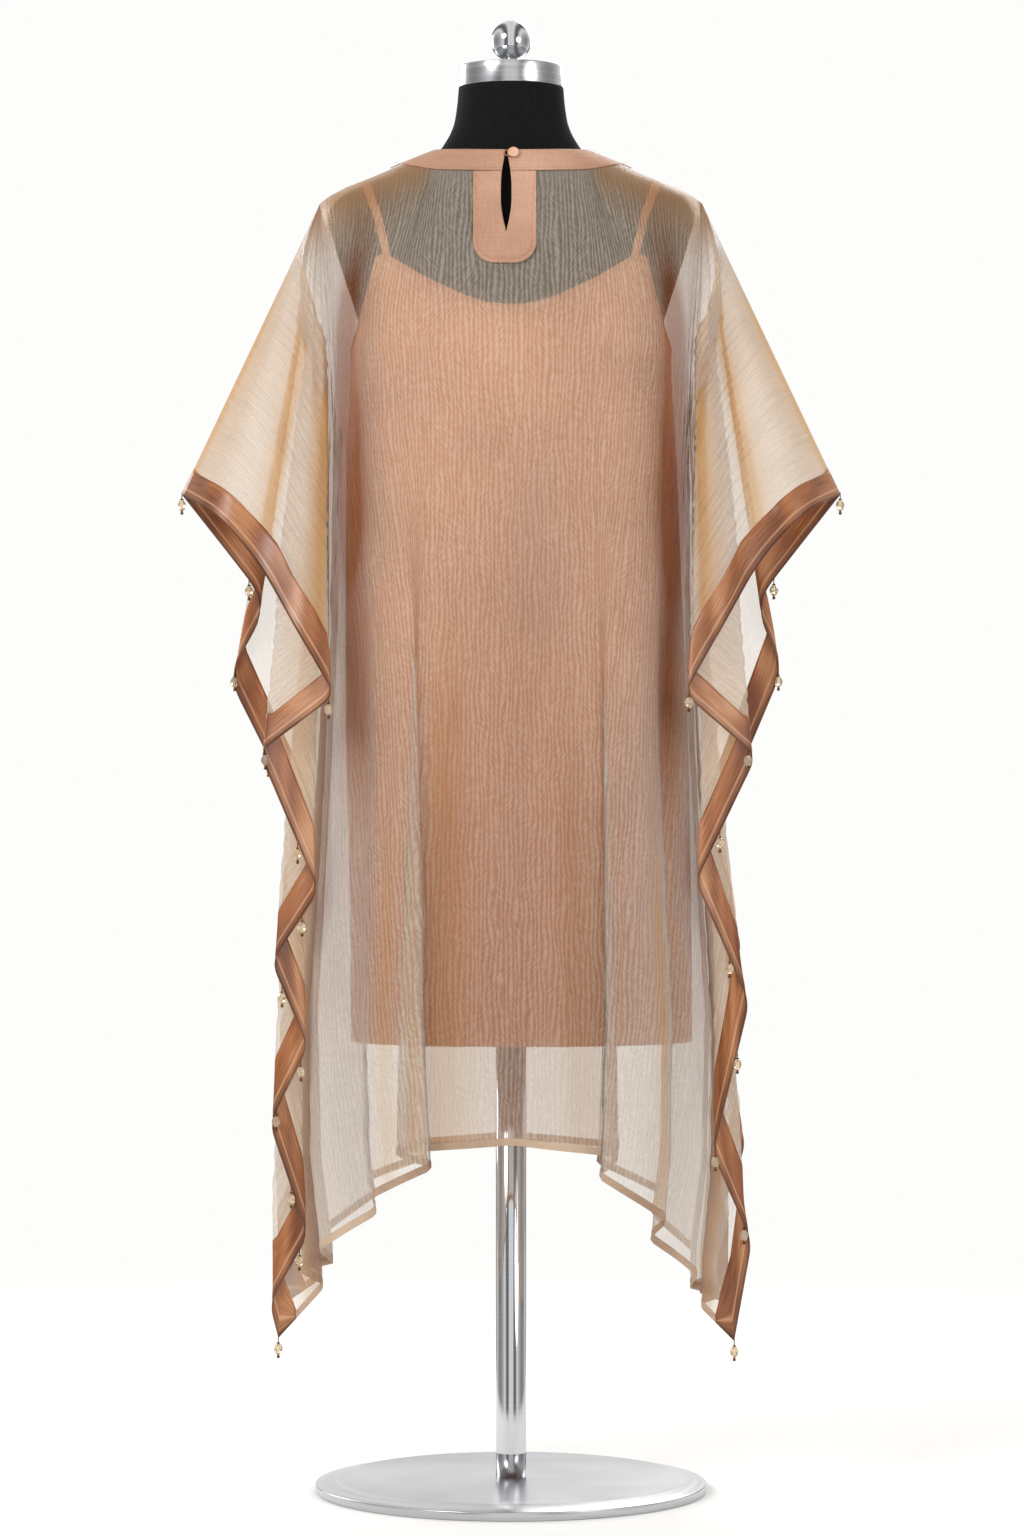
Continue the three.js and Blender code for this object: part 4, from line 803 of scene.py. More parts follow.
# Painted light and shade on the cloth: gold light, in the colour of its gold yarn, where light comes through
# it;
# a painted lavender sheen; and painted brown shade where several layers lie in its folds; each a line from
# one point (across, down) of the flat cloth to another, with a width and a strength.
paintedLightBands = {
    # painted gold light, where light comes through the cloth's folded layers
    "litGold": {
        "back": [
            (-200, 2, -640, 2, 7, 1.0), (-180, 6, -640, 50, 40, 0.45), (-190, 0, -640, 196, 8, 1.0),
            (-190, 0, -640, 180, 20, 0.5), (-190, 0, -640, 350, 22, 0.55), (-190, 0, -640, 372, 9, 0.8),
            (-200, 60, -640, 620, 26, 0.6), (-200, 160, -640, 900, 24, 0.5),
            (200, 2, 640, 2, 7, 1.0), (180, 6, 640, 48, 40, 0.45), (190, 0, 640, 184, 8, 1.0),
            (190, 0, 640, 168, 20, 0.5), (190, 0, 640, 336, 22, 0.6), (190, 0, 640, 358, 9, 0.9),
            (200, 60, 640, 600, 26, 0.6), (200, 160, 640, 900, 24, 0.5),
            (-56, 430, -60, 1112, 20, 0.6), (-108, 560, -130, 1112, 7, 0.8), (86, 430, 102, 1112, 9, 0.9),
            (52, 520, 62, 1112, 12, 0.35), (-150, 620, -190, 1112, 8, 0.5), (160, 620, 205, 1112, 8, 0.5),
            (-380, 500, -470, 1112, 14, 0.6), (380, 500, 470, 1112, 14, 0.6),
        ],
        "front": [
            (-228, 8, -540, 6, 17, 0.8), (-224, 50, -520, 150, 22, 0.6), (228, 8, 540, 6, 17, 0.8),
            (224, 50, 520, 150, 22, 0.6), (-90, 400, -110, 1112, 12, 0.6), (96, 400, 116, 1112, 12, 0.6),
            (-380, 500, -470, 1112, 16, 0.6), (380, 500, 470, 1112, 16, 0.6),
        ],
    },
    # painted lavender sheen, down the body's sides and along some folds
    "paintedSheen": {
        "back": [
            (-185, 330, -250, 1112, 30, 0.8), (150, 420, 185, 1112, 26, 0.8),
            (210, 330, 270, 1112, 26, 0.7), (-150, 100, -160, 500, 26, 0.35),
            (20, 250, 25, 600, 30, 0.25), (-95, 480, -110, 1112, 10, 0.5), (112, 500, 130, 1112, 9, 0.6),
        ],
        "front": [(-190, 300, -250, 1112, 30, 0.7), (190, 300, 250, 1112, 30, 0.7)],
    },
    # painted brown shade, by the armholes, down the body's sides and in the lower folds
    "deep": {
        "back": [
            (-165, -10, -190, 470, 26, 1.4), (165, -10, 190, 470, 26, 1.5), (-186, 20, -206, 760, 22, 0.8),
            (186, 20, 206, 760, 22, 0.9), (-330, 500, -440, 1112, 24, 0.6), (330, 500, 440, 1112, 24, 0.6),
            (-228, 20, -345, 800, 20, 0.7), (228, 20, 345, 800, 20, 0.8),
            (10, 200, 6, 1112, 62, 0.22), (-60, 560, -70, 1112, 40, 0.16), (70, 560, 80, 1112, 40, 0.16),
        ],
        "front": [(-176, 0, -200, 620, 26, 0.8), (176, 0, 200, 620, 26, 0.8)],
    },
}
bell = {"open": (0.7, 1.25), "in": 0.45, "out": 0.72, "runsOff": 1100}
foldDepth = 1.35
crinkle = {"depth": 0.6, "across": (7, 15), "down": (90, 260), "waves": 26}
# Where the relief grows or fades: shares of the cloth's length from the top, but for the last two.
calm = {
    "folds": (0.05, 0.3),
    "crinkle": (0.02, 0.17),
    "onlyRises": (0.14, 0.24),  # above this, over the straps, the crinkles don't sink
    "flapEnd": (0.86, 0.97),
    "touching": (1.5, 16),  # mm, where the two sides of the cloth nearly touch
    "edgeRows": 8,
}
# painted gold light over the shoulder tops, where light comes through from above, with some painted brown
# shade
paintedShoulderLight = {"litGold": 0.95, "down": 52, "from": (60, 120), "to": (205, 250), "brown": 0.4}
crushing = {"sleeve": 0.62, "sleeveFrom": (222, 300), "ridge": 0.25, "ridgeTo": 60}


def bells(rows, flat):
    # each row is a rounded ridge whose height falls off as a bell across it and eases in and out along it
    height = np.zeros(flat.shape[:2])
    for fromAcross, fromDown, toAcross, toDown, width, depth in rows:
        start = np.array([fromAcross, fromDown], float)
        line = np.array([toAcross, toDown]) - start
        length = np.linalg.norm(line)
        away = flat - start
        along = (away @ line) / length**2
        across = (away[..., 0] * line[1] - away[..., 1] * line[0]) / length
        open = width * mix(*bell["open"], np.clip(along, 0, 1))
        # a fold that reaches the hem runs off it, any other fades out before its end
        fade = 1 if toDown > bell["runsOff"] else 1 - smooth(bell["out"], 1.0, along)
        height += depth * smooth(0.0, bell["in"], along) * fade * np.exp(-((across / open) ** 2))
    return height


def paintedLightAndCrushOf(side, flat):
    # painted gold light, painted lavender sheen and painted brown shade for each point, painted gold light
    # along the shoulders too; the fourth number is how strongly the cloth is crinkled, less on the sleeves,
    # where it is stretched by its own weight
    made = {name: np.clip(bells(rows[side], flat), 0, 1) for name, rows in paintedLightBands.items()}
    across, down = np.abs(flat[..., 0]), flat[..., 1]
    glow, crush = paintedShoulderLight, crushing
    onShoulder = smooth(*glow["from"], across) * (1 - smooth(*glow["to"], across))
    # painted gold light over the shoulder tops, fading down from the ridge
    shoulderLitGold = glow["litGold"] * np.exp(-((down / glow["down"]) ** 2)) * onShoulder
    litGold = np.clip(made["litGold"] + shoulderLitGold, 0, 1)
    # painted brown shade, with some more over the shoulder tops
    deep = np.clip(made["deep"] + glow["brown"] * shoulderLitGold, 0, 1)
    alongRidge = mix(crush["ridge"], 1, smooth(0, crush["ridgeTo"], down))
    crushed = (1 - crush["sleeve"] * smooth(*crush["sleeveFrom"], across)) * alongRidge
    return np.stack([litGold, made["paintedSheen"], deep, crushed], axis=-1)


def crinkleRelief(flat):
    # many long thin waves down the cloth with random spacing, length and slant
    height = np.zeros(flat.shape[:2])
    for _ in range(crinkle["waves"]):
        spacing = dice.uniform(*crinkle["across"])
        stretch = dice.uniform(*crinkle["down"]) * dice.choice([-1, 1])
        phase = dice.uniform(0, 2 * np.pi)
        height += np.cos(2 * np.pi * (flat[..., 0] / spacing + flat[..., 1] / stretch) + phase)
    return height * crinkle["depth"] / np.sqrt(crinkle["waves"] / 2)


def surfaceNormals(grid, outward):
    # the cross product of the grid's two directions, with the shoulder point's column taken from below
    n = unit(np.cross(np.gradient(grid, axis=0), np.gradient(grid, axis=1)))
    weak = np.linalg.norm(n, axis=-1) < 0.5
    n[weak] = (0, outward, 0)
    return n


def clothSide(side, facing):
    # the left quarter's columns, then the right one's, without the middle column that they share
    left, right = (quarterColumns(quarters[f"{side}_{hand}"]) for hand in ("left", "right"))
    pairs = zip(quarterGrid(side, left, -1, facing), quarterGrid(side, right, 1, facing))
    grid, flat, t = (np.concatenate([a, b[:, -2::-1]], axis=1) for a, b in pairs)
    normals = surfaceNormals(grid, facing)
    normals *= np.sign((normals[len(grid) // 4] * (0, facing, 0)).sum())
    first = meshRows["cloth"] - calm["edgeRows"]
    quiet = np.ones_like(t)
    quiet[first:] = np.clip(1 - np.arange(len(t) - first) / (calm["edgeRows"] - 1), 0, 1)[:, None]
    folds = foldDepth * bells(softFolds[side], flat) * smooth(*calm["folds"], t)
    fine = crinkleRelief(flat)
    fine = np.where(fine < 0, fine * smooth(*calm["onlyRises"], t), fine)
    relief = folds + fine * quiet * smooth(*calm["crinkle"], t)
    relief *= smooth(*calm["touching"], np.abs(grid[..., 1]))
    # near the end of the side flaps the border lies flat on its own folds
    isFlap = np.concatenate([~left["isBody"], ~right["isBody"][-2::-1]])
    relief *= np.where(isFlap, 1 - smooth(*calm["flapEnd"], t), 1)
    grid = grid + normals * relief[..., None]
    print(f"{side} cloth: {grid.shape[0]} x {grid.shape[1]}")
    return {"grid": grid, "flat": flat, "normals": normals, "left": left, "right": right, "facing": facing}


cloth = {"back": clothSide("back", -1), "front": clothSide("front", 1)}


def area(grid):
    # in square metres, each cell as the parallelogram of its first corner's two edges
    corner = grid[:-1, :-1]
    return np.linalg.norm(np.cross(grid[1:, :-1] - corner, grid[:-1, 1:] - corner), axis=-1).sum() * mm * mm


def bandCut(grid):
    # a band's mean width and the length that gives its area at that width, in metres, both measured on
    # the built grid, since no cut is known
    wide = np.linalg.norm(np.diff(grid, axis=0), axis=-1).sum(axis=0).mean() * mm
    return wide, area(grid) / wide


# The keyhole slit at the centre back, a narrow drop that closes to a slit at the neckline.
keyhole = {"out": -5, "bottom": 1309, "widest": 1350, "neck": 1400, "wide": 11, "slit": 1.4, "clear": 2.2}


def keyholeHalf(up):
    # half the slit's width: a quarter sine wave up from its foot and down to its neck, never under the slit
    rise = (up - keyhole["bottom"]) / (keyhole["widest"] - keyhole["bottom"])
    fall = 1 - (up - keyhole["widest"]) / (keyhole["neck"] - keyhole["widest"])
    share = np.clip(np.where(up < keyhole["widest"], rise, fall), 0, 1)
    half = keyhole["wide"] / 2 * np.sin(np.pi / 2 * np.minimum(1, share * 1.15))
    return np.where(up < keyhole["bottom"], 0, np.maximum(keyhole["slit"] / 2 * (share > 0), half))


def clothAt(side, out, up, lift):
    # points on the cloth where it lies against the form, moved out by a lift
    deep = standAt(drape, side, out, up) + ridgeDeep + lift
    return np.stack([out, -deep if side == "back" else deep, up], axis=-1)


def makePanel(side):
    # the sheer sheet itself: the cloth's grid down to where its border and hem begin
    made = cloth[side]
    rows = meshRows["cloth"]
    grid, flat = made["grid"][:rows], made["flat"][:rows]
    quads = cells(grid)[:, ::-1] if side == "front" else cells(grid)
    if side == "back":
        # the cloth is cut away behind the patch's own keyhole edge
        middle = grid.reshape(-1, 3)[quads].mean(axis=1)
        near = np.abs(middle[:, 0] - keyhole["out"]) < keyholeHalf(middle[:, 2]) + keyhole["clear"]
        quads = quads[~(near & (middle[:, 2] > keyhole["bottom"] - 1) & (middle[:, 1] < 0))]
    paintedLightAndCrush = paintedLightAndCrushOf(side, flat).reshape(-1, 4)
    points, laid = grid.reshape(-1, 3), flat.reshape(-1, 2)
    piece = meshFrom(f"sheer_{side}", points, quads, materials["organza"], laid, merge=True, paintedLightAndCrush=paintedLightAndCrush)
    belongs(piece, "sheer_cloth", f"{side}_panel")
    print(f"sheer_{side}: {area(grid):.3f} m2")
    return piece


def makeEdges(side):
    # the border strips and the hem continue the panel's own grid past its last row
    made = cloth[side]
    start = meshRows["cloth"] - 1
    columns = made["grid"].shape[1]
    leftEnd, rightEnd = made["left"]["borderCount"], made["right"]["borderCount"]
    spans = {
        f"border_{side}_left": (slice(0, leftEnd), "left"),
        f"border_{side}_right": (slice(columns - rightEnd, columns), "right"),
        f"hem_{side}": (slice(leftEnd - 1, columns - rightEnd + 1), None),
    }
    pieces = {}
    for name, (span, hand) in spans.items():
        grid = made["grid"][start:, span].copy()
        normals = made["normals"][start:, span]
        across = np.linspace(0, 1, grid.shape[0])[:, None]
        run = runAlong(grid[-1])
        strip = border if hand else hem
        long = panel["flatLong"] if hand else 2 * (panel["flatHalf"] - border["width"])
        if hand:
            # a turned edge that stands a little proud, a stitched groove inside it, a low crown, and
            # slow waves along it
            edge = 0.75 * np.exp(-(((across - 0.93) / 0.06) ** 2))
            crown = 0.35 * np.sin(np.pi * np.clip(across / 0.85, 0, 1))
            pucker = 0.35 * np.sin(run / 19 + 1.3 * np.sin(run / 47)) * np.sin(np.pi * across)
            raised = edge + crown + pucker
        else:
            # a low crown
            raised = 0.3 * np.sin(np.pi * across)
        grid += normals * raised[..., None]
        flat = np.stack(np.broadcast_arrays(run, across * strip["width"]), axis=-1)
        material = materials[strip["material"]]
        piece = gridPiece(strip["prefix"] + name, grid, material, flat, flip=side == "front")
        belongs(thicken(piece, strip["thick"]), strip["slot"], name)
        cut = (strip["width"] * mm, long * mm)
        print(f"{piece.name}: {area(grid):.4f} m2, cut {cut[0] * cut[1]:.4f} m2")
        pieces[name] = (piece, cut)
    return pieces


bead = {
    "sides": 8,
    "wireSides": 10,
    "glass": [(0.6, -5.6), (2.7, -6.6), (4.3, -9.2), (4.7, -11.4), (4.2, -13.8), (2.6, -16.4), (0.6, -17.4)],
    "fittings": [
        [(0.0, 2.2), (0.55, 2.0), (0.55, -4.6), (0.0, -4.8)],
        [(0.0, -4.2), (1.7, -4.6), (1.9, -5.3), (1.1, -6.0), (0.0, -6.1)],
        [(0.0, -16.9), (1.2, -17.0), (1.6, -17.6), (0.6, -18.1), (0.0, -18.1)],
        [(0.0, -17.9), (1.3, -18.4), (1.85, -19.6), (1.3, -20.9), (0.0, -21.4)],
    ],
}


def turnedMany(profiles, places, sides, twist):
    # the same turned profiles at every place, as one set of points and quads
    points, quads = np.zeros((0, 3)), np.zeros((0, 4), int)
    for profile in profiles:
        grids = places[:, None, None] + revolve(profile, circle(sides) + twist[:, None])
        quads = np.concatenate([quads, cells(grids, wrap=True)[:, [0, 3, 2, 1]] + len(points)])
        points = np.concatenate([points, grids.reshape(-1, 3)])
    return points, quads


def makeBeads(side, hand):
    # drops hung from the border's outer edge, at these shares of its length
    made = cloth[side]
    name = f"{side}_{hand}"
    columns = made[hand]
    edge = made["grid"][-1] if hand == "left" else made["grid"][-1, ::-1]
    edge = edge[:columns["edgeCount"]]
    run = columns["edgeRun"]
    shares = np.array(quarters[name]["beads"]) * run[-1]
    places = np.stack([np.interp(shares, run, edge[:, k]) for k in range(3)], axis=-1)
    twist = dice.uniform(0, np.pi, len(places))
    glass = turnedMany([bead["glass"]], places, bead["sides"], twist)
    drops = meshFrom(f"glass_beads_{name}", *glass, materials["crystal"], merge=True, shadeSmooth=False)
    fittings = turnedMany(bead["fittings"], places, bead["wireSides"], twist)
    wires = meshFrom(f"bead_wires_{name}", *fittings, materials["wire"], merge=True)
    for piece in (drops, wires):
        belongs(piece, None, f"border_{name}")
    return [drops, wires]


panels = {side: makePanel(side) for side in cloth}
edges = {name: made for side in cloth for name, made in makeEdges(side).items()}
beads = {f"{side}_{hand}": makeBeads(side, hand) for side in cloth for hand in ("left", "right")}
print("kaftan made")


# The neck facing, keyhole patch, button and loop

facing = {
    "lift": 1.5,
    "thick": 0.7,
    "end": 126,
    "edgeOut": [0, 42, 84, 126],
    "edgeUp": [1375, 1376, 1379, 1392],
    "frontOut": 122,
    "frontDrop": 102,
    "frontWidth": 13,
    "seam": 3.0,  # mm from the edge to its stitched line
    "seamLift": 0.45,
    "seamEnds": (4, 3.2),
    "rows": 14,
    "columns": (90, 150),
}
patch = {
    "left": -39,
    "right": 26,
    "top": 1374.6,
    "bottom": 1276,
    "round": 22,
    "seam": 5.0,
    "seamLift": 0.75,
    "middleUp": 40,
    "columns": 60,
    "rows": 22,
}


def neckLine(out):
    # the height of the back neckline, and past it of the shoulder ridge
    turn = np.arccos(np.clip(np.abs(out) / neck["out"], 0, 1))
    onNeck = neck["up"] - neck["backDrop"] * np.sin(turn) ** neck["scoop"]
    return np.where(np.abs(out) < neck["out"], onNeck, ridgeLine(out))


def sewOn(name, grid, under, flip=False, cut=None):
    # a thin peach facing sewn to the cloth, with what it was cut to and its area
    piece = gridPiece(name, grid, materials["facing"], flip=flip)
    belongs(thicken(piece, facing["thick"]), "facing_cloth", under)
    return piece, cut or bandCut(grid), area(grid)


def makeBackFacing(hand, sideways):
    # across from the shoulder to the keyhole, down from the neckline to the facing's lower edge
    across = np.linspace(0, 1, facing["columns"][0])[None, :]
    down = np.linspace(0, 1, facing["rows"])[:, None]
    guide = mix(sideways * facing["end"], keyhole["out"], across)
    top = neckLine(guide) - 0.2
    up = mix(top, np.minimum(top - 0.6, eased(np.abs(guide), facing["edgeOut"], facing["edgeUp"])), down)
    inner = keyhole["out"] + sideways * keyholeHalf(up)
    out = mix(sideways * facing["end"], inner, across)
    edgeRoll = 0.5 * np.exp(-((down - 0.04) / 0.08) ** 2)
    grid = clothAt("back", out, up, facing["lift"] + edgeRoll)
    return sewOn(f"neck_band_back_{hand}", grid, f"neck_facing_back_{hand}", flip=sideways > 0)


def makeFrontFacing():
    # round the scooped neckline from one shoulder to the other, and down to the band's lower edge
    turn = np.linspace(0, np.pi, facing["columns"][1])[None, :]
    down = np.linspace(0, 1, facing["rows"])[:, None]
    out = -np.cos(turn) * mix(neck["out"], facing["frontOut"], down)
    drop = mix(neck["frontDrop"], facing["frontDrop"], down) * np.sin(turn) ** neck["scoop"]
    up = neck["up"] - facing["frontWidth"] * down - drop
    up = np.where(np.abs(out) > neck["out"], np.minimum(up, ridgeLine(out) - 0.4), up)
    return sewOn("neck_band_front", clothAt("front", out, up, facing["lift"]), "neck_facing_front", flip=True)


def patchOutline(count):
    # down the left side, round the two lower corners and up the right side, at even steps
    r, b = patch["round"], patch["bottom"]
    left, right = patch["left"], patch["right"]
    turn = np.linspace(0, np.pi / 2, 12)
    corner1 = np.stack([left + r - r * np.cos(turn), b + r - r * np.sin(turn)], axis=-1)
    corner2 = np.stack([right - r + r * np.sin(turn), b + r - r * np.cos(turn)], axis=-1)
    path = np.concatenate([[(left, patch["top"])], corner1, corner2, [(right, patch["top"])]])
    run = runAlong(path)
    s = np.linspace(0, run[-1], count)
    return np.stack([np.interp(s, run, path[:, k]) for k in range(2)], axis=-1)


def makePatch():
    # rows from the keyhole's own edge, down one side and up the other, out to the patch's outline
    outer = patchOutline(2 * patch["columns"])
    down = np.linspace(patch["top"], keyhole["bottom"], patch["columns"])
    ups, hands = np.concatenate([down, down[::-1]]), np.repeat([-1, 1], patch["columns"])
    inner = np.stack([keyhole["out"] + hands * keyholeHalf(ups), ups], axis=-1)
    across = np.linspace(0, 1, patch["rows"])[:, None, None]
    flat = mix(inner, outer, across)
    # pressed flat at its outer edge, with the top-stitched line sunk a little inside it
    lift = facing["lift"] + 0.5 - 0.4 * np.exp(-(((across[..., 0] - 0.9) / 0.05) ** 2))
    grid = clothAt("back", flat[..., 0], flat[..., 1], lift)
    cut = ((patch["right"] - patch["left"]) * mm, (patch["top"] - patch["bottom"]) * mm)
    return sewOn("keyhole_patch", grid, "keyhole_placket", cut=cut)


def stitches(name, path, lift, slot, length=2.2, gap=1.2, radius=0.32):
    # short round threads laid end to end along a path on the back
    run = runAlong(path)
    starts = np.arange(0.5, run[-1] - length, length + gap)
    ends = np.linspace(0, 1, 5)
    s = starts[:, None] + ends * length
    out, up = np.interp(s, run, path[:, 0]), np.interp(s, run, path[:, 1])
    rise = radius * np.sin(np.pi * ends) * 0.9
    middle = clothAt("back", out, up, lift + rise)
    along = unit(np.gradient(middle, axis=1))
    across = unit(np.cross(along, [0, -1.0, 0]))
    high = np.cross(across, along)
    turn = circle(5)[:, None]
    slim = (radius * np.sin(np.pi * np.clip(ends, 0.08, 0.92)) ** 0.5)[None, :, None, None]
    points = middle[:, :, None] + slim * (np.cos(turn) * across[:, :, None] + np.sin(turn) * high[:, :, None])
    return belongs(meshFrom(name, points.reshape(-1, 3), cells(points, wrap=True), materials["thread"]), slot)


def basisOnBack(out, up):
    # a point of the back's cloth, and its across, above and outward directions there
    here, beside, over = clothAt("back", np.array([out, out + 2.0, out]), np.array([up, up, up + 2.0]), 0)
    across = unit(beside - here)
    outward = unit(np.cross(across, over - here))
    return here, np.stack([across, np.cross(outward, across), outward])


# The button's profile is (radius, height above its back face), on a shank that reaches down to its foot.
button = {
    "out": 2.5,
    "up": 1393,
    "foot": 2.4,
    "shank": 1.3,
    "face": 3.9,
    "profile": [
        (4.48, 0), (5.6, 0.5), (5.6, 1.3), (5.208, 2.1), (4.48, 2.4), (3.584, 2.0), (2.8, 1.7), (0, 1.7),
    ],
    "sides": 48,
}
loop = {"out": -0.9, "radius": 4, "stretch": 1.5, "cord": 0.65, "lift": 3, "steps": 40}


def makeButton():
    # a turned button on its shank, square to the cloth
    shank = [(0, button["foot"]), (button["shank"], button["foot"]), (button["shank"], button["face"])]
    profile = shank + [(radius, button["face"] + rise) for radius, rise in button["profile"]]
    here, basis = basisOnBack(button["out"], button["up"])
    grid = here + revolve(profile, circle(button["sides"])) @ basis
    piece = gridPiece("shell_button", grid, materials["buttonShell"], wrap=True, merge=True)
    return belongs(piece, "button", "button")


def makeLoop():
    # an oval ring of cord round the shank
    here, basis = basisOnBack(loop["out"], button["up"])
    ring = revolve([(loop["radius"], loop["lift"])], circle(loop["steps"]))[0] * (loop["stretch"], 1, 1)
    path = here + ring @ basis
    cord = materials["satin"]
    return tube("cord_loop", path, loop["cord"], 8, cord, "loop_cord", "button_loop", closed=True)


def stitchPatch():
    # a line a little inside the patch's outline, towards its middle
    middle = np.array([(patch["left"] + patch["right"]) / 2, patch["bottom"] + patch["middleUp"]])
    outline = patchOutline(200)
    line = outline + unit(middle - outline) * patch["seam"]
    return stitches("patch_stitches", line, facing["lift"] + patch["seamLift"], "facing_cloth")


def stitchBand(hand, sideways):
    # a line a little above the band's lower edge
    outer, inner = facing["seamEnds"]
    outs = np.linspace(sideways * (facing["end"] - outer), keyhole["out"] + sideways * inner, 120)
    ups = eased(np.abs(outs), facing["edgeOut"], facing["edgeUp"]) + facing["seam"]
    line = np.stack([outs, ups], axis=-1)
    return stitches(f"band_stitches_{hand}", line, facing["lift"] + facing["seamLift"], "facing_cloth")


hands = {"left": -1, "right": 1}
facings = {hand: makeBackFacing(hand, sideways) for hand, sideways in hands.items()}
facings["front"] = makeFrontFacing()
facings["patch"] = makePatch()
makeButton()
makeLoop()
sewn = {"patch": stitchPatch(), **{hand: stitchBand(hand, sideways) for hand, sideways in hands.items()}}
print("neck made")


# The slip lining

slip = {
    "up": [472, 800, 1080, 1180, 1225, 1270, 1310, 1332],
    "half": [178.5, 179, 173, 167, 168, 178, 190, 193],
    "back": [117, 117, 113, 109, 108, 105, 98.5, 92],
    "front": [131, 131, 131, 131, 121, 102, 81.5, 71],
    "aside": 11,
    "asideFrom": 1180,
}
slipTop = {
    "out": [0, 26, 50, 90, 130, 140, 149, 161, 168],
    "back": [1233, 1236, 1244, 1264, 1289, 1286, 1250, 1212, 1194],
    "front": [1226, 1229, 1238, 1259, 1288, 1285, 1248, 1211, 1194],
    "hem": 472,
    "widest": 168,
    "thick": 0.8,
    "columns": 281,
    "rows": 120,
    "fullness": 1.55,  # a chosen factor, from the breadth seen from behind to the flat width
    "long": 0.82,  # m, chosen
}
slipTrim = {"binding": 1.1, "thread": 0.35, "neckSeam": 6, "hemSeam": 18}

# The slip's soft folds: where across it, as a share of its half width, where each begins down its
# length, how wide, as a share, and how deep in millimetres.
slipFolds = {
    "back": [
        (-0.86, 0.05, 0.05, 3.0), (-0.66, 0.2, 0.06, -3.5), (-0.52, 0.12, 0.05, 3.5),
        (-0.31, 0.3, 0.07, -3.0), (-0.12, 0.42, 0.06, 3.0), (0.06, 0.35, 0.06, -3.2),
        (0.24, 0.25, 0.05, 3.4), (0.4, 0.15, 0.06, -3.6), (0.58, 0.1, 0.05, 3.6),
        (0.72, 0.22, 0.06, -3.0), (0.88, 0.08, 0.05, 2.6),
    ],
    "front": [
        (-0.8, 0.1, 0.06, 3.0), (-0.58, 0.25, 0.06, -3.4), (-0.36, 0.2, 0.07, 3.2), (-0.1, 0.4, 0.07, -2.6),
        (0.2, 0.3, 0.06, 3.2), (0.45, 0.18, 0.06, -3.4), (0.66, 0.12, 0.05, 3.2), (0.84, 0.2, 0.06, -2.4),
    ],
}


def slipPoints(side, facing, across, t):
    # down from the scooped top close to the form, then straight, with low waves that grow to the hem, and
    # its folds, each a bell across the cloth
    top = np.interp(np.abs(across), np.array(slipTop["out"]) / slipTop["widest"], slipTop[side])
    up = mix(top, slipTop["hem"], t)
    width = at(slip, "half", up)
    narrow = across * slipTop["widest"] / at(slip, "half", top)
    out = mix(narrow, across, smooth(0, 0.2, t)) * width
    wave = t * t * (3 * np.cos(across * np.pi * 5) + 1.4 * np.cos(across * 23 + 2.0))
    for place, start, width, depth in slipFolds[side]:
        bell = np.exp(-(((across - place) / width) ** 2))
        wave = wave + depth * smooth(start, start + 0.45, t) * bell
    deep = standAt(slip, side, out, up) + wave * (1 - across * across)
    aside = slip["aside"] * smooth(slip["asideFrom"], slipTop["hem"], up)
    return np.stack([out + aside, facing * np.maximum(ridgeDeep, deep), up], axis=-1)


def makeSlip(side, facing):
    # its columns stand closer together at the sides, where it turns to the other half
    across = np.sin(np.linspace(-1, 1, slipTop["columns"]) * np.pi / 2)[None, :]
    grid = slipPoints(side, facing, across, np.linspace(0, 1, slipTop["rows"])[:, None])
    piece = gridPiece(f"slip_{side}", grid, materials["slip"], flip=side == "front")
    belongs(thicken(piece, slipTop["thick"]), "lining_cloth", f"lining_{side}")
    top = grid[0] + unit(grid[1] - grid[0]) * slipTrim["neckSeam"] + (0, facing * 0.5, 0)
    low = grid[-1] + unit(grid[-2] - grid[-1]) * slipTrim["hemSeam"] + (0, facing * 0.4, 0)
    trim = [tube(f"slip_binding_{side}", grid[0], slipTrim["binding"], 8, materials["slip"], "lining_cloth")]
    for name, seam in (("neck", top), ("hem", low)):
        name = f"slip_{name}_stitch_{side}"
        trim.append(tube(name, seam, slipTrim["thread"], 6, materials["thread"], "lining_cloth"))
    return {"piece": piece, "area": area(grid), "trim": trim}


slips = {side: makeSlip(side, facing) for side, facing in (("back", -1), ("front", 1))}
print("slip made")


# The dress form

form = {
    "up": [
        690, 740, 800, 860, 930, 1005, 1080, 1140, 1180, 1225, 1270, 1310, 1343, 1354, 1364, 1375,
        1387, 1401, 1414, 1430, 1450, 1471,
    ],
    "half": [
        150, 163, 167, 162, 144, 124, 134, 146, 152, 160, 174, 186, 190, 182, 166, 140, 112, 80, 69,
        61, 57, 55,
    ],
    "back": [
        98, 108, 109, 104, 92, 79, 87, 96, 101, 104, 102, 95, 85, 80, 73, 67, 62, 57, 55, 54, 54.5, 55,
    ],
    "front": [88, 98, 103, 103, 98, 93, 105, 121, 127, 117, 98, 78, 64, 58, 54, 51, 50, 50, 51, 53, 54, 55],
    "neckFrom": (1405, 1440),
    "sides": 112,
    "rows": 190,
}


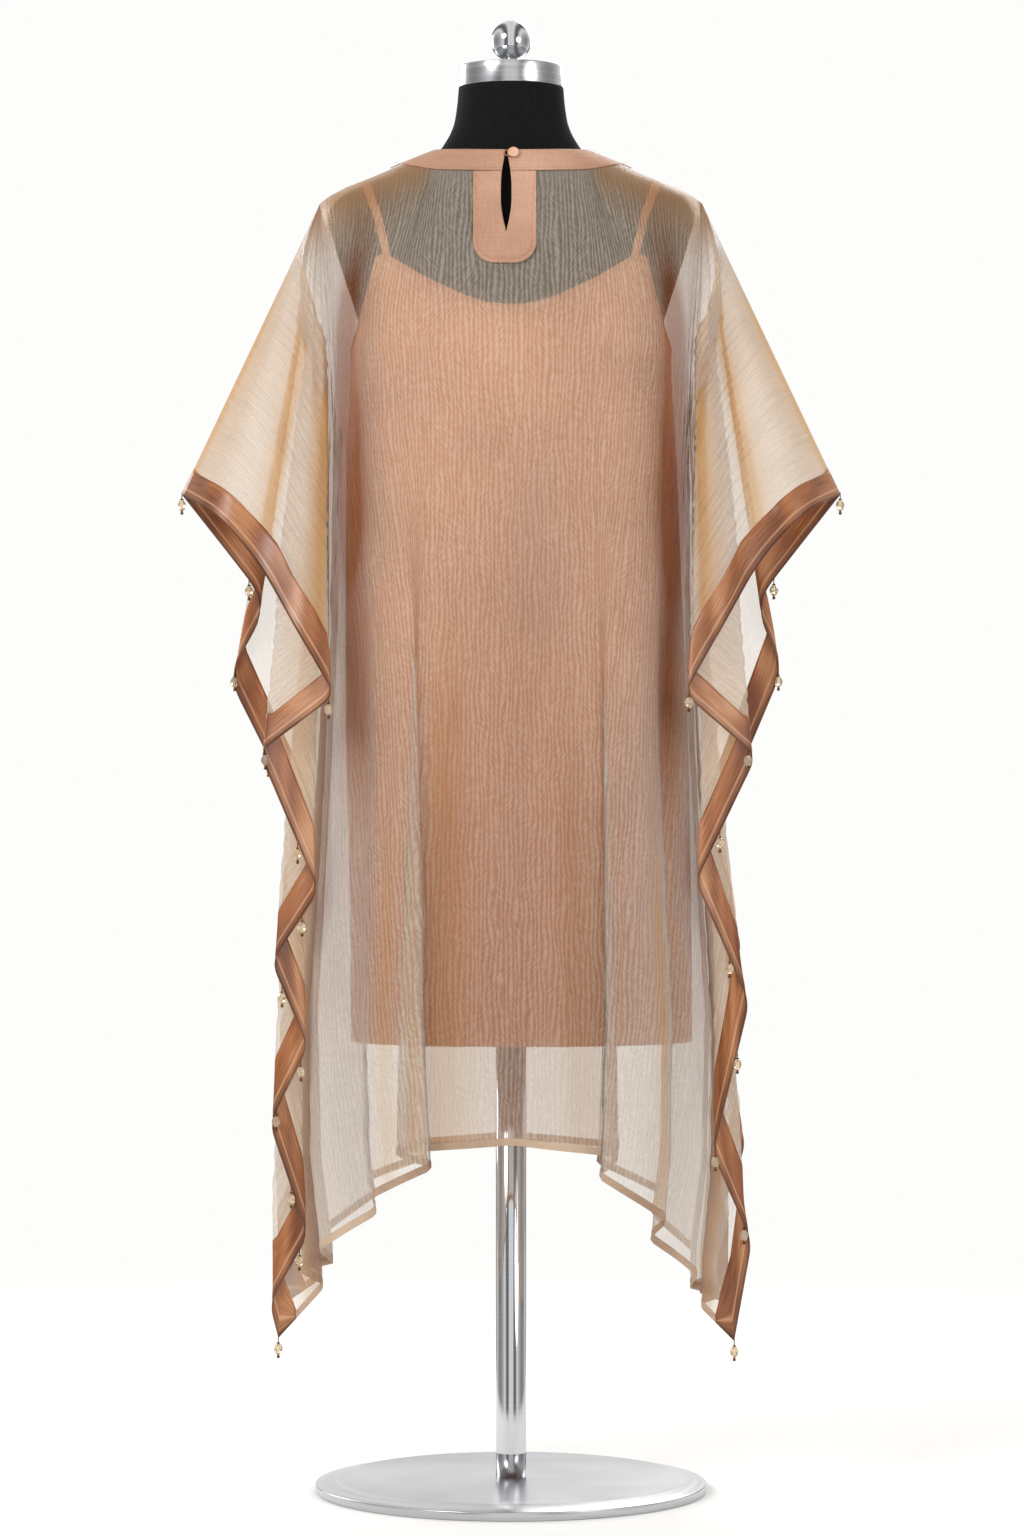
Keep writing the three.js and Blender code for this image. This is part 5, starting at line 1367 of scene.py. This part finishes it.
def makeForm():
    # rounded sections between the table's rows, squarer over the body and round at the neck
    up = np.linspace(form["up"][0], form["up"][-1], form["rows"])[:, None]
    turn = circle(form["sides"])[None, :]
    half = eased(up, form["up"], form["half"])
    back, front = (eased(up, form["up"], form[side]) for side in ("back", "front"))
    deep = np.where(np.cos(turn) > 0, back, front)
    power = mix(squareness, 1, smooth(*form["neckFrom"], up))
    out = half * np.sign(np.sin(turn)) * np.abs(np.sin(turn)) ** power
    depth = -deep * np.sign(np.cos(turn)) * np.abs(np.cos(turn)) ** power
    grid = np.stack([out, depth, np.broadcast_to(up, out.shape)], axis=-1)
    middle = grid.mean(axis=1, keepdims=True) * (0, 0, 1)
    closed = [np.repeat(middle[:1], form["sides"], 1), grid, np.repeat(middle[-1:], form["sides"], 1)]
    grid = np.concatenate(closed)
    piece = gridPiece("form_shell", grid, materials["jersey"], wrap=True, merge=True)
    return belongs(piece, "form_cloth", "form_body")


formPiece = makeForm()
# The stand's turned pieces: their sides, material, node and profile
stand = {
    "neck_cap": (128, "brushed", "form_neck_cap", [
        (0, 1471.3), (54.2, 1471.3), *arc(54.2, 1472.1, 0.8, -90, 0, 4), *arc(53.6, 1492.6, 1.4, 0, 90, 6),
        (0, 1494),
    ]),
    "finial_ball": (96, "chrome", "form_finial", [
        (0, 1494.3), (8.5, 1494.3), *arc(8.5, 1495.3, 1, -90, 0, 4), (7.0, 1497.5), (7.0, 1500.5),
        *arc(0, 1521, 21.5, -71, 90, 40),
    ]),
    "stand_pole": (64, "chrome", "form_pole", [(0, 14.3), (16, 14.3), (16, 40), (16, 689.7), (0, 689.7)]),
    "stand_base": (160, "brushed", "form_base", [
        (0, 0), (204, 0), *arc(204, 1, 1, -90, 0, 4), (205, 8), *arc(204, 8, 1, 0, 80, 4), (180, 14), (0, 14),
    ]),
}
for name, (sides, metal, replaced, profile) in stand.items():
    turned(name, profile, sides, materials[metal], "chrome", replaced)
print("dress form made")


# The slip's straps

strap = {
    "width": 9, "thick": 1.1, "lift": 1.45, "endLift": 1.3, "low": 1281, "high": 1366, "outLow": 134,
    "outHigh": 149, "deep": 90, "rise": 0.7, "ease": 0.3, "rows": 113, "ringRow": 12, "ring": 5, "wire": 0.75,
    "columns": 9, "ringSteps": 40,
}


def formLevel(p):
    # how far points are outside the form's rounded sections, 0 on them
    half = at(form, "half", p[..., 2])
    deep = np.where(p[..., 1] < 0, at(form, "back", p[..., 2]), at(form, "front", p[..., 2]))
    return (np.abs(p[..., 0]) / half) ** (2 / squareness) + (np.abs(p[..., 1]) / deep) ** (2 / squareness) - 1


def formOut(p):
    # the slope of that level, which points straight out of the form
    steps = np.eye(3) * 0.5
    return np.stack([formLevel(p + step) - formLevel(p - step) for step in steps], axis=-1)


def ontoForm(p, lift):
    # the nearest points of the form's skin by twelve Newton steps, moved out by a lift
    for _ in range(12):
        slope = formOut(p)
        p = p - slope * (formLevel(p) / (slope**2).sum(axis=-1))[..., None]
    return p + unit(formOut(p)) * np.asarray(lift)[..., None]


def makeStrap(hand, sideways):
    # a ribbon over the form's shoulder, its middle line a half turn from the back of the slip to the
    # front that rises as a power of its sine, its edges a little thicker than its middle
    turn = np.linspace(0, np.pi, strap["rows"])
    over = np.sin(turn) ** strap["rise"]
    out = sideways * mix(strap["outLow"], strap["outHigh"], over)
    start = np.stack([out, -strap["deep"] * np.cos(turn), mix(strap["low"], strap["high"], over)], axis=-1)
    lift = mix(strap["endLift"], strap["lift"], smooth(0, strap["ease"], over))
    line = ontoForm(start, lift)
    along = unit(np.gradient(line, axis=0))
    sidewards = unit(np.cross(formOut(line), along))
    across = np.linspace(-1, 1, strap["columns"])[:, None]
    edge = 0.25 * np.exp(-(((np.abs(across) - 0.8) / 0.15) ** 2))
    grid = ontoForm(line + sidewards * (across * strap["width"] / 2)[..., None], lift + edge)
    piece = gridPiece(f"slip_strap_{hand}", grid, materials["slip"], flip=sideways < 0)
    belongs(thicken(piece, strap["thick"]), "lining_cloth", f"strap_{hand}")
    here = strap["ringRow"]
    aside = np.cross(unit(formOut(line[here])), along[here])
    ring = circle(strap["ringSteps"])[:, None]
    middle = ontoForm(line[here], strap["lift"] + strap["thick"] / 2 + strap["wire"] + 0.15)
    path = middle + strap["ring"] * (np.cos(ring) * along[here] + np.sin(ring) * aside)
    slider = f"slider_ring_{hand}"
    tube(slider, path, strap["wire"], 10, materials["ring"], "slider", f"slider_{hand}", closed=True)
    return piece


straps = [makeStrap(hand, sideways) for hand, sideways in hands.items()]
print("straps made")


# Stage, light and camera

studio = {
    "cameraAt": (0.001, -4.9, 0.758),
    "lens": 109.4,
    "sensor": 36,
    "white": "#fdfdfb",
    "seen": 1.0,
    "ambient": 0.7,
    "fill": "#fbfaf8",
    "floor": "#fbfbfa",
    "floorUp": -0.3,
    "floorRadius": 7000,
    "floorFade": (0.7, 2.4),  # m from the middle, where the floor fades into the backdrop
    "panels": [
        (0.0, "#f4f4f4"), (0.22, "#ffffff"), (0.34, "#8a8a8a"), (0.55, "#6c6c6c"), (0.72, "#ffffff"),
        (1.0, "#9a9a9a"),
    ],
}


def makeStage():
    # a round white floor that fades out, just under the base
    profile = [(radius, studio["floorUp"]) for radius in np.linspace(0, studio["floorRadius"], 12)]
    material, tree, place = newMaterial("white_painted_floor")
    away = node(tree, "VectorMath", {0: place}, operation="LENGTH")["Value"]
    near, far = studio["floorFade"]
    ends = {"From Min": near, "From Max": far, "To Min": 1.0, "To Max": 0.0}
    shown = node(tree, "MapRange", {"Value": away, **ends}, interpolation_type="SMOOTHERSTEP")[0]
    paint = node(tree, "BsdfDiffuse", {"Color": linear(studio["floor"])})[0]
    finish(material, tree, over(tree, shown, node(tree, "BsdfTransparent", {})[0], paint))
    gridPiece("studio_floor", revolve(profile, circle(96)), material, wrap=True, merge=True)


def makeWorld():
    # near-white backdrop; what lights the object is softer, and the metal mirrors darker sides
    world = bpy.data.worlds.new("studio_sky")
    bpy.context.scene.world = world
    world.use_nodes = True
    tree = world.node_tree
    tree.nodes.clear()
    direction = node(tree, "TexCoord", {})["Generated"]
    sideways = math(tree, "ABSOLUTE", node(tree, "SeparateXYZ", {0: direction})["X"])
    path = node(tree, "LightPath", {})

    def sky(colour, strength):
        # an even light from all round
        return node(tree, "Background", {"Color": colour, "Strength": strength})[0]

    fill = sky(linear(studio["fill"]), studio["ambient"])
    lit = over(tree, path["Is Glossy Ray"], fill, sky(ramp(tree, sideways, studio["panels"]), 1.0))
    seen = sky(linear(studio["white"]), studio["seen"])
    output = tree.nodes.new("ShaderNodeOutputWorld")
    tree.links.new(over(tree, path["Is Camera Ray"], lit, seen), output.inputs["Surface"])


def placed(name, data, place):
    # an object at a place
    made = bpy.data.objects.new(name, data)
    bpy.context.scene.collection.objects.link(made)
    made.location = place
    return made


lamps = [
    {"name": "key_softbox", "at": (-2.4, -2.6, 2.9), "aim": (0, 0, 0.9), "size": 1.6, "watts": 62},
    {"name": "fill_softbox", "at": (2.6, -2.8, 1.6), "aim": (0, 0, 0.8), "size": 2.0, "watts": 26},
    {"name": "back_softbox", "at": (1.2, 2.8, 2.6), "aim": (0, 0, 0.9), "size": 2.2, "watts": 42},
    {"name": "back_softbox_left", "at": (-2.2, 2.4, 1.8), "aim": (0, 0, 0.8), "size": 1.6, "watts": 36},
]


def makeLamps():
    # each a round softbox turned to face its aim
    for row in lamps:
        light = bpy.data.lights.new(row["name"], "AREA")
        light.shape = "DISK"
        light.size = row["size"]
        light.energy = row["watts"]
        lamp = placed(row["name"], light, row["at"])
        back = unit(np.array(row["at"]) - np.array(row["aim"]))
        lamp.rotation_euler = (np.arccos(back[2]), 0, np.arctan2(back[1], back[0]) + np.pi / 2)
        lamp.visible_camera = False


def makeCamera():
    # level and straight ahead, placed so that the outline matches the photo's
    lens = bpy.data.cameras.new("photo_camera")
    lens.lens = studio["lens"]
    lens.sensor_width = studio["sensor"]
    camera = placed("photo_camera", lens, studio["cameraAt"])
    camera.rotation_euler = (np.pi / 2, 0, 0)
    bpy.context.scene.camera = camera


makeStage()
makeWorld()
makeLamps()
makeCamera()
bpy.context.scene.view_settings.view_transform = "Standard"
bpy.context.scene.cycles.transparent_max_bounces = 28
print("stage, light and camera made")
